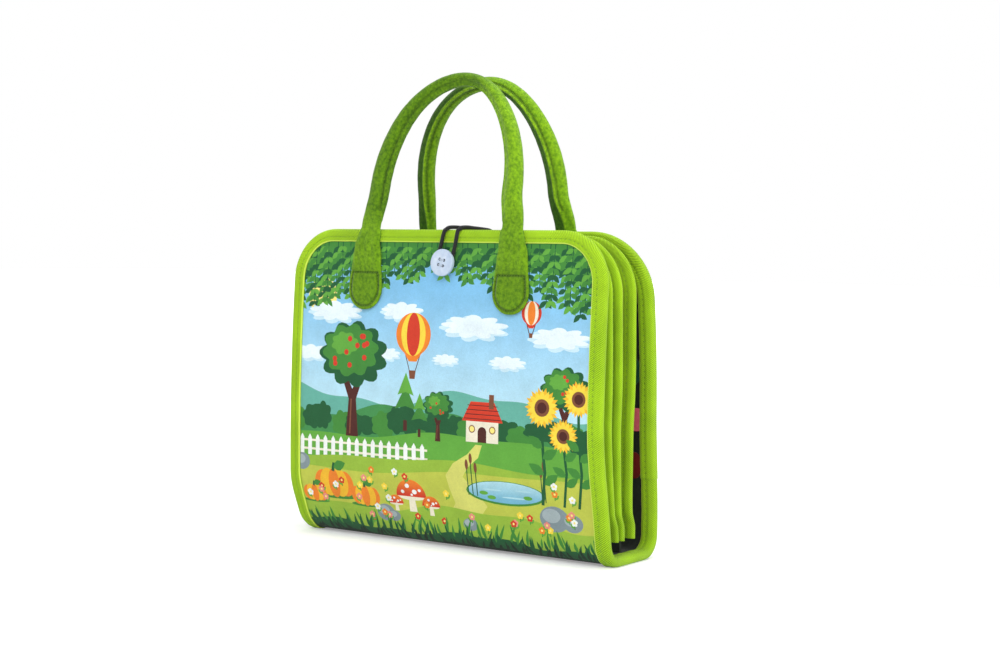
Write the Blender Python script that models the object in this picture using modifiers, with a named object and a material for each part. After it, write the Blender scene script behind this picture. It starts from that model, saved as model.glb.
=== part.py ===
"""Felt quiet book that folds shut into a small bag with two handles.

The book stands on its spine. Its front faces -Y, its width runs along X and Z points up.
Two stiffened covers fold down from the spine, three bound pages hang between them, and an
elastic loop from the back cover closes over a button on the front cover.
All lengths are in metres.
"""

import math

import bmesh
import bpy
from mathutils import Matrix, Vector

# Covers: outline and layers, from the outer felt inwards
COVER_HALF_WIDTH = 0.149
COVER_TOP = 0.249
COVER_CORNER_RADIUS = 0.038
COVER_FELT = 0.0015
COVER_BOARD = 0.0014
COVER_LINING = 0.0015
BOARD_INSET = 0.007

# Depth of the outer felt from the middle plane, at the fold, the belly and the top
DEPTH_AT_FOLD = 0.038
FRONT_DEPTH_AT_BELLY = 0.0395
FRONT_DEPTH_AT_TOP = 0.0325
BACK_DEPTH_AT_BELLY = 0.0425
BACK_DEPTH_AT_TOP = 0.0285
BELLY_HEIGHT_SHARE = 0.36

# Spine and binding tape
SPINE_CORNER_RADIUS = 0.018
TAPE_THICKNESS = 0.0008
TAPE_WIDTH = 0.0105
FIT = 0.0003
OVERRUN = 0.002

# Pages: each turns on the top of a felt web that is sewn into the spine
PAGE_HALF_WIDTH = 0.1465
PAGE_HEIGHT = 0.2245
PAGE_CORNER_RADIUS = 0.035
PAGE_FELT = 0.0009
PAGE_BOARD = 0.0006
PAGE_TAPE = 0.0006
PAGE_TAPE_WIDTH = 0.0095
PAGE_FELT_START = 0.0012
PAGE_TAPE_START = 0.0020
PAGE_HINGE_ABOVE_FOLD = 0.0012
PAGE_BOARD_INSET = 0.006
WEB_THICKNESS = 0.0024
WEB_CLEARANCE = 0.0008
WEB_END_INSET = 0.004
PAGE_1_SEAM = -0.0260
PAGE_2_SEAM = -0.0200
PAGE_3_SEAM = -0.0050
PAGE_LEANS_DEG = (0.8, 3.3, 4.6)

# Handles: an oval padded tube that flattens to a strap at each end and narrows at its crest
HANDLE_HALF_SPACING = 0.070
HANDLE_ARCH_HALF_WIDTH = 0.064
HANDLE_LEG = 0.030
HANDLE_ARCH_RISE = 0.090
HANDLE_TUBE_WIDTH = 0.0172
HANDLE_TUBE_THICKNESS = 0.0120
HANDLE_CREST_WIDTH = 0.0106
HANDLE_TAPER_START = 0.045
HANDLE_STRAP_WIDTH = 0.0200
HANDLE_STRAP_THICKNESS = 0.0040
HANDLE_FLARE = 0.028
HANDLE_FELT = 0.0011
FRONT_HANDLE_LEAN_DEG = 12.0
BACK_HANDLE_LEAN_DEG = 9.0
FRONT_HANDLE_MIDDLE = -0.0030
BACK_HANDLE_MIDDLE = 0.0010
HANDLE_SIDES = 16
HANDLE_ARCH_STEPS = 24
HANDLE_LEG_STEPS = 5

# Sewn tabs that carry the handles
TAB_LENGTH = 0.064
TAB_TOP_HALF_WIDTH = 0.0100
TAB_WAIST_HALF_WIDTH = 0.0118
TAB_WIDE_HALF_WIDTH = 0.0165
TAB_THICKNESS = 0.0024
TAB_STEP_LENGTH = 0.005

# Button, its thread and the elastic loop
BUTTON_BELOW_TOP = 0.0245
BUTTON_MIDDLE = 0.0045
BUTTON_RADIUS = 0.0110
BUTTON_THICKNESS = 0.0032
BUTTON_RIM_WIDTH = 0.0030
BUTTON_DISH_DEPTH = 0.0010
BUTTON_EDGE = 0.0005
BUTTON_HOLE_RADIUS = 0.0010
BUTTON_HOLE_SPACING = 0.0018
THREAD_RADIUS = 0.0006
SHANK_RADIUS = 0.0022
ELASTIC_DIAMETER = 0.0030
LOOP_HALF_WIDTH_AT_BUTTON = 0.0066
LOOP_HALF_WIDTH_AT_TOP = 0.0046
LOOP_HALF_WIDTH_AT_PAGES = 0.0030
LOOP_HALF_WIDTH_AT_ANCHOR = 0.0020
LOOP_MIDDLE = 0.0155
LOOP_MIDDLE_AT_TAPE_EDGE = 0.0105
LOOP_SAG = 0.0010
ANCHOR_HALF_WIDTH = 0.0065
ANCHOR_HEIGHT = 0.0090
ANCHOR_THICKNESS = 0.0014

# Felt shapes sewn to the lining of the back cover, by their gap to the side tape
PATCH_THICKNESS = 0.0012
PATCH_SIDE_GAP = 0.0008
PINK_PATCH = {"length": 0.072, "low": 0.0990, "high": 0.1130, "corner": 0.0020}
RED_PATCH = {"length": 0.040, "low": 0.0620, "high": 0.0800, "corner": 0.0075}
TEAL_PATCH = {"length": 0.034, "low": 0.1310, "high": 0.1560, "corner": 0.0100}

ARC_STEPS = 10
SMALL_ARC_STEPS = 3
BOW_LEVELS = 8

# Colours of the materials, as linear red, green and blue
LIME = (0.36, 0.72, 0.02)
HANDLE_GREEN = (0.20, 0.42, 0.015)
SKY = (0.28, 0.55, 0.80)
GROUND = (0.03, 0.12, 0.05)
BLACK = (0.012, 0.014, 0.016)
BOARD_GREY = (0.55, 0.55, 0.52)
WADDING = (0.75, 0.75, 0.72)
BUTTON_BLUE = (0.62, 0.74, 0.90)
THREAD_WHITE = (0.80, 0.82, 0.85)
PINK = (0.72, 0.12, 0.17)
RED = (0.28, 0.005, 0.01)
TEAL = (0.01, 0.09, 0.10)

# Derived sizes
COVER_STACK = COVER_FELT + FIT + COVER_BOARD + FIT + COVER_LINING
TAPE_STEP = FIT + TAPE_THICKNESS
FOLD_HEIGHT = TAPE_STEP + SPINE_CORNER_RADIUS
FLAT_HALF_DEPTH = DEPTH_AT_FOLD - SPINE_CORNER_RADIUS
COVER_TAPE_TOP = COVER_TOP + TAPE_STEP
BUTTON_HEIGHT = COVER_TOP - BUTTON_BELOW_TOP
PAGE_STACK = PAGE_FELT + FIT + PAGE_BOARD + FIT + PAGE_FELT
PAGE_PIVOT_HEIGHT = FOLD_HEIGHT + PAGE_HINGE_ABOVE_FOLD

FRONT = -1
BACK = 1
BELLY_AND_TOP_DEPTHS = {FRONT: (FRONT_DEPTH_AT_BELLY, FRONT_DEPTH_AT_TOP),
                        BACK: (BACK_DEPTH_AT_BELLY, BACK_DEPTH_AT_TOP)}
HANDLE_MIDDLES = {FRONT: FRONT_HANDLE_MIDDLE, BACK: BACK_HANDLE_MIDDLE}
UPRIGHT = Matrix.Rotation(math.radians(90), 4, "X")
ALONG_X = Matrix(((0, 0, 1, 0), (1, 0, 0, 0), (0, 1, 0, 0), (0, 0, 0, 1)))


def clear_scene():
    """Remove every object, so that the model starts from nothing."""
    for item in list(bpy.data.objects):
        bpy.data.objects.remove(item, do_unlink=True)


def make_collection(name):
    """Add a collection to the scene."""
    group = bpy.data.collections.new(name)
    bpy.context.scene.collection.children.link(group)
    return group


def principled(name, colour, roughness):
    """Make a plain Principled material."""
    finish = bpy.data.materials.new(name)
    finish.use_nodes = True
    finish.diffuse_color = (*colour, 1)
    shader = finish.node_tree.nodes["Principled BSDF"]
    shader.inputs["Base Color"].default_value = (*colour, 1)
    shader.inputs["Roughness"].default_value = roughness
    shader.inputs["Metallic"].default_value = 0
    return finish


def tidy_mesh(mesh):
    """Merge loose seams and point every face outwards."""
    work = bmesh.new()
    work.from_mesh(mesh)
    bmesh.ops.remove_doubles(work, verts=work.verts, dist=FIT / 1000)
    bmesh.ops.dissolve_degenerate(work, edges=work.edges, dist=FIT / 1000)
    bmesh.ops.recalc_face_normals(work, faces=work.faces)
    work.to_mesh(mesh)
    work.free()
    return mesh


def evaluated_mesh(item):
    """Return an object's evaluated mesh in world space and remove the object."""
    graph = bpy.context.evaluated_depsgraph_get()
    mesh = bpy.data.meshes.new_from_object(item.evaluated_get(graph))
    mesh.transform(item.matrix_world)
    bpy.data.objects.remove(item, do_unlink=True)
    return tidy_mesh(mesh)


def loose_object(name, data):
    """Link a working object to the scene."""
    item = bpy.data.objects.new(name, data)
    bpy.context.scene.collection.objects.link(item)
    return item


def slab(outline, near, far, turn, kind="POLY"):
    """Make a solid from a closed flat outline, between two planes of the turned frame."""
    curve = bpy.data.curves.new("outline", "CURVE")
    curve.dimensions = "2D"
    curve.fill_mode = "BOTH"
    curve.extrude = (far - near) / 2
    curve.resolution_u = 6
    spline = curve.splines.new(kind)
    if kind == "POLY":
        spline.points.add(len(outline) - 1)
        for point, (across, up) in zip(spline.points, outline):
            point.co = (across, up, 0, 1)
    else:
        spline.bezier_points.add(len(outline) - 1)
        for point, (across, up, handle) in zip(spline.bezier_points, outline):
            point.co = (across, up, 0)
            point.handle_left_type = handle
            point.handle_right_type = handle
    spline.use_cyclic_u = True
    item = loose_object("outline", curve)
    item.matrix_world = turn
    mesh = evaluated_mesh(item)
    depth_axis = turn.to_3x3() @ Vector((0, 0, 1))
    depth_axis = Vector([abs(value) for value in depth_axis])
    mesh.transform(Matrix.Translation(depth_axis * (near + far) / 2))
    return mesh


def combine(mesh, other, operation):
    """Cut one mesh from another, or join the two, with an exact Boolean."""
    body = loose_object("body", mesh)
    tool = bpy.data.objects.new("tool", other)
    bpy.data.collections["cutters"].objects.link(tool)
    tool.hide_render = True
    tool.display_type = "WIRE"
    step = body.modifiers.new("step", "BOOLEAN")
    step.operation = operation
    step.solver = "EXACT"
    step.object = tool
    result = evaluated_mesh(body)
    bpy.data.objects.remove(tool, do_unlink=True)
    return result


def slice_across(mesh, low, high, count):
    """Add level rings of edges between two heights, so that the mesh can bend."""
    work = bmesh.new()
    work.from_mesh(mesh)
    for index in range(1, count):
        height = low + (high - low) * index / count
        everything = work.verts[:] + work.edges[:] + work.faces[:]
        bmesh.ops.bisect_plane(work, geom=everything, dist=FIT / 1000,
                               plane_co=(0, 0, height), plane_no=(0, 0, 1))
    work.to_mesh(mesh)
    work.free()
    return mesh


def cover_depth(height, side):
    """Depth of a cover's outer felt at a height: a parabola through fold, belly and top."""
    belly = FOLD_HEIGHT + BELLY_HEIGHT_SHARE * (COVER_TOP - FOLD_HEIGHT)
    at_belly, at_top = BELLY_AND_TOP_DEPTHS[side]
    knots = ((FOLD_HEIGHT, DEPTH_AT_FOLD), (belly, at_belly), (COVER_TOP, at_top))
    depth = 0
    for index, (place, value) in enumerate(knots):
        weight = 1
        for other, (place_2, _) in enumerate(knots):
            if other != index:
                weight *= (height - place_2) / (place - place_2)
        depth += value * weight
    return depth


def bow_to_cover(mesh, side, lift=None):
    """Bend a flat piece, whose Y is its distance in from the outer felt, onto a cover."""
    for vertex in mesh.vertices:
        height = vertex.co.z
        inward = vertex.co.y
        if lift is not None:
            inward -= lift(height)
        vertex.co.y = side * (cover_depth(height, side) - inward)
    return tidy_mesh(mesh)


def corner_arc(centre_x, centre_z, radius, start_deg, end_deg, steps=ARC_STEPS):
    """Points of a round corner, from one angle to another."""
    points = []
    for step in range(steps + 1):
        angle = math.radians(start_deg + (end_deg - start_deg) * step / steps)
        points.append((centre_x + radius * math.cos(angle), centre_z + radius * math.sin(angle)))
    return points


def round_top(half_width, low, high, radius):
    """Outline of a panel with a straight foot and two round upper corners."""
    points = [(-half_width, low), (half_width, low)]
    points += corner_arc(half_width - radius, high - radius, radius, 0, 90)
    points += corner_arc(radius - half_width, high - radius, radius, 90, 180)
    return points


def round_box(left, right, low, high, radius):
    """Outline of a rectangle with four round corners."""
    steps = SMALL_ARC_STEPS
    points = corner_arc(right - radius, high - radius, radius, 0, 90, steps)
    points += corner_arc(left + radius, high - radius, radius, 90, 180, steps)
    points += corner_arc(left + radius, low + radius, radius, 180, 270, steps)
    points += corner_arc(right - radius, low + radius, radius, 270, 360, steps)
    return points


def border_band(half_width, low, high, radius, outside, inside):
    """Outline of a tape that runs up one side, over the top and down the other."""
    outer = round_top(half_width + outside, low, high + outside, radius + outside)
    inner = round_top(half_width - inside, low, high - inside, radius - inside)
    # Both lists start with the foot's two corners, then run from the right side to the left
    outer_run = outer[1:] + outer[:1]
    inner_run = inner[1:] + inner[:1]
    return outer_run + inner_run[::-1]


def folded_tape(half_width, low, high, radius, stack, thickness, width):
    """Tape of C section, folded over the edge of a flat panel whose layers fill the stack."""
    band = border_band(half_width, low, high, radius, FIT + thickness, width)
    tape = slab(band, -FIT - thickness, stack + FIT + thickness, UPRIGHT)
    inside = round_top(half_width + FIT, low - OVERRUN, high + FIT, radius + FIT)
    return combine(tape, slab(inside, -FIT, stack + FIT, UPRIGHT), "DIFFERENCE")


def spine_line(inward):
    """U-shaped line of the spine, a distance in from its outer felt, front to back."""
    radius = SPINE_CORNER_RADIUS - inward
    points = corner_arc(-FLAT_HALF_DEPTH, FOLD_HEIGHT, radius, 180, 270)
    points += corner_arc(FLAT_HALF_DEPTH, FOLD_HEIGHT, radius, 270, 360)
    return points


def spine_floor(depth):
    """Height of the spine's lining at a distance from the middle plane."""
    radius = SPINE_CORNER_RADIUS - COVER_STACK
    past_flat = max(depth - FLAT_HALF_DEPTH, 0)
    return FOLD_HEIGHT - math.sqrt(radius ** 2 - past_flat ** 2)


def spine_layer(near, far, left, right):
    """Solid layer of the spine between two depths and two places along X."""
    outline = spine_line(near) + spine_line(far)[::-1]
    return slab(outline, left, right, ALONG_X)


def add_pivot(name, place, turn_deg=0):
    """Add an empty on a joint's axis, tilted about X."""
    pivot = bpy.data.objects.new(name, None)
    bpy.context.scene.collection.objects.link(pivot)
    pivot.location = place
    pivot.rotation_euler = (math.radians(turn_deg), 0, 0)
    return pivot


def add_piece(name, mesh, colour, roughness, pivot=None, local=False, smooth=False):
    """Name a finished mesh, give it its material and hang it on its joint's pivot."""
    mesh.name = name
    if pivot is not None and not local:
        mesh.transform(Matrix.Translation(-pivot.location))
    mesh.materials.clear()
    mesh.materials.append(principled(name, colour, roughness))
    if smooth:
        mesh.shade_smooth()
        mesh.set_sharp_from_angle(angle=math.radians(40))
    piece = bpy.data.objects.new(name, mesh)
    piece.parent = pivot
    bpy.data.collections["quiet_book"].objects.link(piece)
    return piece


def build_spine():
    """Spine: outer felt, base strip, lining and the tape folded over each open end."""
    lining_start = COVER_FELT + FIT + COVER_BOARD + FIT
    width = COVER_HALF_WIDTH
    add_piece("spine_felt", spine_layer(0, COVER_FELT, -width, width), GROUND, 0.95, smooth=True)
    add_piece("spine_lining", spine_layer(lining_start, COVER_STACK, -width, width), BLACK, 0.95,
              smooth=True)
    board_low = TAPE_STEP + COVER_FELT + FIT
    board_depth = FLAT_HALF_DEPTH
    board = round_box(-board_depth, board_depth, board_low, board_low + COVER_BOARD,
                      COVER_BOARD / 3)
    inset = width - BOARD_INSET
    add_piece("spine_board", slab(board, -inset, inset, ALONG_X), BOARD_GREY, 0.6)
    for name, side in (("left", -1), ("right", 1)):
        ends = sorted((side * (width - TAPE_WIDTH), side * (width + TAPE_STEP)))
        tape = spine_layer(-TAPE_STEP, COVER_STACK + TAPE_STEP, *ends)
        reach = sorted((side * (width - TAPE_WIDTH - OVERRUN), side * (width + FIT)))
        room = spine_layer(-FIT, COVER_STACK + FIT, *reach)
        tape = combine(tape, widen_upwards(room), "DIFFERENCE")
        add_piece("spine_binding_" + name, tape, LIME, 0.8, smooth=True)


def widen_upwards(mesh):
    """Carry a cutter's two upper end faces past the fold, so that it cuts right through."""
    for vertex in mesh.vertices:
        if vertex.co.z > FOLD_HEIGHT - FIT / 10:
            vertex.co.z += OVERRUN
    return mesh


def build_cover(side, name, outer_colour, pivot):
    """One cover: outer felt, stiff board, lining and folded binding."""
    low = FOLD_HEIGHT + FIT
    outline = round_top(COVER_HALF_WIDTH, low, COVER_TOP, COVER_CORNER_RADIUS)
    board_start = COVER_FELT + FIT
    lining_start = board_start + COVER_BOARD + FIT
    inset = BOARD_INSET
    board_outline = round_top(COVER_HALF_WIDTH - inset, low + FIT, COVER_TOP - inset,
                              COVER_CORNER_RADIUS - inset)
    layers = (
        ("_felt", slab(outline, 0, COVER_FELT, UPRIGHT), outer_colour, 0.9),
        ("_board", slab(board_outline, board_start, board_start + COVER_BOARD, UPRIGHT),
         BOARD_GREY, 0.6),
        ("_lining", slab(outline, lining_start, COVER_STACK, UPRIGHT), BLACK, 0.95),
        ("_binding", folded_tape(COVER_HALF_WIDTH, low, COVER_TOP, COVER_CORNER_RADIUS,
                                 COVER_STACK, TAPE_THICKNESS, TAPE_WIDTH), LIME, 0.8),
    )
    for suffix, mesh, colour, roughness in layers:
        slice_across(mesh, low, COVER_TOP, BOW_LEVELS)
        add_piece(name + suffix, bow_to_cover(mesh, side), colour, roughness, pivot, smooth=True)


def tab_lift(height):
    """How far a tab stands off the felt: close to it low down, over the tape at the top."""
    edge = COVER_TOP - TAPE_WIDTH
    share = (height - (edge - FIT - TAB_STEP_LENGTH)) / TAB_STEP_LENGTH
    share = min(max(share, 0), 1)
    smooth_share = share * share * (3 - 2 * share)
    return FIT + TAPE_STEP * smooth_share


def handle_hinge(side, lean_deg):
    """Axis of a handle: on the strap's outer face, clear above the cover's tape."""
    drop = HANDLE_STRAP_THICKNESS * math.sin(math.radians(lean_deg))
    height = COVER_TAPE_TOP + FIT + drop
    depth = cover_depth(COVER_TOP, side) + TAPE_STEP + FIT + TAB_THICKNESS
    return Vector((HANDLE_MIDDLES[side], side * depth, height))


def build_tabs(side, name, pivot):
    """Two teardrop tabs of felt, sewn to the cover's face below the handle's ends."""
    top = COVER_TAPE_TOP
    wide = TAB_WIDE_HALF_WIDTH
    bottom = top - TAB_LENGTH
    neck = top - TAB_LENGTH / 3
    swell = bottom + wide
    for label, direction in (("left", -1), ("right", 1)):
        x = HANDLE_MIDDLES[side] + direction * HANDLE_HALF_SPACING
        outline = (
            (x - TAB_TOP_HALF_WIDTH, top, "VECTOR"),
            (x - TAB_WAIST_HALF_WIDTH, neck, "AUTO"),
            (x - wide, swell, "AUTO"),
            (x, bottom, "AUTO"),
            (x + wide, swell, "AUTO"),
            (x + TAB_WAIST_HALF_WIDTH, neck, "AUTO"),
            (x + TAB_TOP_HALF_WIDTH, top, "VECTOR"),
        )
        mesh = slab(outline, -TAB_THICKNESS, 0, UPRIGHT, "BEZIER")
        slice_across(mesh, bottom, top, BOW_LEVELS)
        slice_across(mesh, COVER_TOP - TAPE_WIDTH - TAB_STEP_LENGTH, COVER_TOP - TAPE_WIDTH, 4)
        mesh = bow_to_cover(mesh, side, tab_lift)
        add_piece(name + "_tab_" + label, mesh, HANDLE_GREEN, 0.95, pivot, smooth=True)


def leg_station(step):
    """One section of the left leg, upright at its foot, which closes in towards the arch."""
    share = step / HANDLE_LEG_STEPS
    closing = HANDLE_HALF_SPACING - HANDLE_ARCH_HALF_WIDTH
    along = Vector((6 * closing * share * (1 - share), HANDLE_LEG)).normalized()
    inwards = closing * share * share * (3 - 2 * share)
    return inwards - HANDLE_HALF_SPACING, HANDLE_LEG * share, along.x, along.y


def handle_path():
    """Middle line of a handle in its own plane, with its direction, from left to right."""
    left = [leg_station(step) for step in range(HANDLE_LEG_STEPS)]
    right = [(-x, height, along_x, -along_z) for x, height, along_x, along_z in reversed(left)]
    arch = []
    for step in range(HANDLE_ARCH_STEPS + 1):
        angle = math.pi * (1 - step / HANDLE_ARCH_STEPS)
        along = Vector((HANDLE_ARCH_HALF_WIDTH * math.sin(angle),
                        -HANDLE_ARCH_RISE * math.cos(angle)))
        along.normalize()
        arch.append((HANDLE_ARCH_HALF_WIDTH * math.cos(angle),
                     HANDLE_LEG + HANDLE_ARCH_RISE * math.sin(angle), along.x, along.y))
    return left + arch + right


def handle_section(height, shrink):
    """Width and thickness of a handle at a height above its hinge, less a wall all round."""
    share = min(max(height / HANDLE_FLARE, 0), 1)
    smooth_share = share * share * (3 - 2 * share)
    width = HANDLE_STRAP_WIDTH + (HANDLE_TUBE_WIDTH - HANDLE_STRAP_WIDTH) * smooth_share
    crest = HANDLE_LEG + HANDLE_ARCH_RISE
    taper = max(height - HANDLE_TAPER_START, 0) / (crest - HANDLE_TAPER_START)
    width += (HANDLE_CREST_WIDTH - HANDLE_TUBE_WIDTH) * taper ** 2
    grow = (HANDLE_TUBE_THICKNESS - HANDLE_STRAP_THICKNESS) * smooth_share
    thickness = HANDLE_STRAP_THICKNESS + grow
    return width - 2 * shrink, thickness - 2 * shrink


def handle_rings(work, side, shrink):
    """Add a handle's oval sections along its path, from strap to tube and back."""
    rings = []
    middle = HANDLE_STRAP_THICKNESS / 2
    for x, height, along_x, along_z in handle_path():
        width, thickness = handle_section(height, shrink)
        ring = []
        for step in range(HANDLE_SIDES):
            angle = 2 * math.pi * step / HANDLE_SIDES
            across = width / 2 * math.cos(angle)
            deep = middle + thickness / 2 * math.sin(angle)
            ring.append(work.verts.new((x + across * along_z, -side * deep,
                                        height - across * along_x)))
        rings.append(ring)
    return rings


def join_rings(work, first, second):
    """Close the band between two rings of points."""
    for step in range(HANDLE_SIDES):
        following = (step + 1) % HANDLE_SIDES
        work.faces.new((first[step], first[following], second[following], second[step]))


def loft_handle(side, outer_shrink, inner_shrink=None):
    """Loft a handle's surface: a solid core, or a sleeve when an inner wall is given."""
    work = bmesh.new()
    outer = handle_rings(work, side, outer_shrink)
    for first, second in zip(outer, outer[1:]):
        join_rings(work, first, second)
    if inner_shrink is None:
        work.faces.new(outer[0])
        work.faces.new(outer[-1])
    else:
        inner = handle_rings(work, side, inner_shrink)
        for first, second in zip(inner, inner[1:]):
            join_rings(work, first, second)
        join_rings(work, outer[0], inner[0])
        join_rings(work, outer[-1], inner[-1])
    bmesh.ops.recalc_face_normals(work, faces=work.faces)
    mesh = bpy.data.meshes.new("handle")
    work.to_mesh(mesh)
    work.free()
    return mesh


def build_handle(side, name, pivot):
    """One handle: a felt sleeve over a soft core, both open at the sewn ends."""
    sleeve = loft_handle(side, 0, HANDLE_FELT)
    add_piece(name + "_sleeve", sleeve, HANDLE_GREEN, 0.95, pivot, local=True, smooth=True)
    core = loft_handle(side, HANDLE_FELT + FIT)
    add_piece(name + "_core", core, WADDING, 0.9, pivot, local=True, smooth=True)


def build_page(number, seam, lean_deg):
    """One page: two felts on a thin board, bound on three sides, on its web in the spine."""
    name = "page_" + str(number)
    pivot = add_pivot(name + "_pivot", (0, seam, PAGE_PIVOT_HEIGHT), -lean_deg)
    centre = Matrix.Translation((0, -PAGE_STACK / 2, 0))
    outline = round_top(PAGE_HALF_WIDTH, PAGE_FELT_START, PAGE_HEIGHT, PAGE_CORNER_RADIUS)
    inset = PAGE_BOARD_INSET
    board = round_top(PAGE_HALF_WIDTH - inset, 0, PAGE_HEIGHT - inset, PAGE_CORNER_RADIUS - inset)
    board_start = PAGE_FELT + FIT
    back_start = board_start + PAGE_BOARD + FIT
    layers = (
        ("_felt_front", slab(outline, 0, PAGE_FELT, UPRIGHT), BLACK, 0.95),
        ("_board", slab(board, board_start, board_start + PAGE_BOARD, UPRIGHT), BOARD_GREY, 0.6),
        ("_felt_back", slab(outline, back_start, PAGE_STACK, UPRIGHT), BLACK, 0.95),
        ("_binding", folded_tape(PAGE_HALF_WIDTH, PAGE_TAPE_START, PAGE_HEIGHT,
                                 PAGE_CORNER_RADIUS, PAGE_STACK, PAGE_TAPE, PAGE_TAPE_WIDTH),
         LIME, 0.8),
    )
    for suffix, mesh, colour, roughness in layers:
        mesh.transform(centre)
        add_piece(name + suffix, mesh, colour, roughness, pivot, local=True, smooth=True)
    half = WEB_THICKNESS / 2
    web_low = spine_floor(abs(seam) + half) + FIT
    web_high = PAGE_PIVOT_HEIGHT - WEB_CLEARANCE
    web = round_box(seam - half, seam + half, web_low, web_high, half / 2)
    reach = COVER_HALF_WIDTH - TAPE_WIDTH - WEB_END_INSET
    add_piece(name + "_web", slab(web, -reach, reach, ALONG_X), BLACK, 0.95)


def turned(profile):
    """Turn a closed profile, given as radius and height, about the Z axis."""
    mesh = bpy.data.meshes.new("profile")
    edges = [(index, index + 1) for index in range(len(profile) - 1)]
    mesh.from_pydata([(radius, 0, height) for radius, height in profile], edges, [])
    item = loose_object("profile", mesh)
    spin = item.modifiers.new("spin", "SCREW")
    spin.steps = 40
    spin.render_steps = 40
    spin.use_merge_vertices = True
    spin.merge_threshold = 0.00001
    return evaluated_mesh(item)


def cylinder(radius, low, high, x=0, y=0, sides=14):
    """Closed cylinder along Z."""
    work = bmesh.new()
    place = Matrix.Translation((x, y, (low + high) / 2))
    bmesh.ops.create_cone(work, cap_ends=True, segments=sides, radius1=radius, radius2=radius,
                          depth=high - low, matrix=place)
    mesh = bpy.data.meshes.new("cylinder")
    work.to_mesh(mesh)
    work.free()
    return mesh


def button_mesh():
    """Button with a raised rim, a shallow dish and four holes; its back lies at Z = 0."""
    radius = BUTTON_RADIUS
    thick = BUTTON_THICKNESS
    edge = BUTTON_EDGE
    rim = radius - BUTTON_RIM_WIDTH
    dish = thick - BUTTON_DISH_DEPTH
    profile = [(0, dish), (rim - edge, dish), (rim, dish + edge / 2), (rim + edge, thick - edge / 2),
               (rim + 2 * edge, thick)]
    profile += [(radius - 2 * edge, thick), (radius - edge / 2, thick - edge / 2),
                (radius, thick - 2 * edge), (radius, thick / 2), (radius - edge, edge)]
    profile += [(radius - 3 * edge, 0), (0, 0)]
    mesh = turned(profile)
    for x, y in hole_places():
        hole = cylinder(BUTTON_HOLE_RADIUS, -OVERRUN, thick + OVERRUN, x, y)
        mesh = combine(mesh, hole, "DIFFERENCE")
    return mesh


def hole_places():
    """Centres of the four holes."""
    half = BUTTON_HOLE_SPACING
    return [(x * half, y * half) for x in (-1, 1) for y in (-1, 1)]


def thread_mesh(shank_length):
    """Thread: a wound shank behind the button and two stitches through its holes."""
    dish = BUTTON_THICKNESS - BUTTON_DISH_DEPTH
    stitch_top = dish + FIT + 2 * THREAD_RADIUS
    mesh = cylinder(SHANK_RADIUS, -shank_length + FIT, -FIT, sides=20)
    for x, y in hole_places():
        post = cylinder(THREAD_RADIUS, -2 * FIT, stitch_top - THREAD_RADIUS / 2, x, y, sides=10)
        mesh = combine(mesh, post, "UNION")
    for x in (-BUTTON_HOLE_SPACING, BUTTON_HOLE_SPACING):
        reach = BUTTON_HOLE_SPACING + THREAD_RADIUS
        bar = cylinder(THREAD_RADIUS, -reach, reach, sides=10)
        bar.transform(Matrix.Rotation(math.radians(90), 4, "X"))
        bar.transform(Matrix.Translation((x, 0, stitch_top - THREAD_RADIUS)))
        mesh = combine(mesh, bar, "UNION")
    return mesh


def build_button(pivot):
    """Button and thread on the front cover, standing off it by the loop's thickness."""
    shank_length = ELASTIC_DIAMETER + 4 * FIT
    back = cover_depth(BUTTON_HEIGHT, FRONT) + shank_length
    place = Matrix.Translation((BUTTON_MIDDLE, -back, BUTTON_HEIGHT))
    turn = place @ Matrix.Rotation(math.radians(90), 4, "X")
    for name, mesh, colour, roughness in (
            ("button", button_mesh(), BUTTON_BLUE, 0.25),
            ("button_thread", thread_mesh(shank_length), THREAD_WHITE, 0.8)):
        mesh.transform(turn)
        add_piece(name, tidy_mesh(mesh), colour, roughness, pivot, smooth=True)


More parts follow.
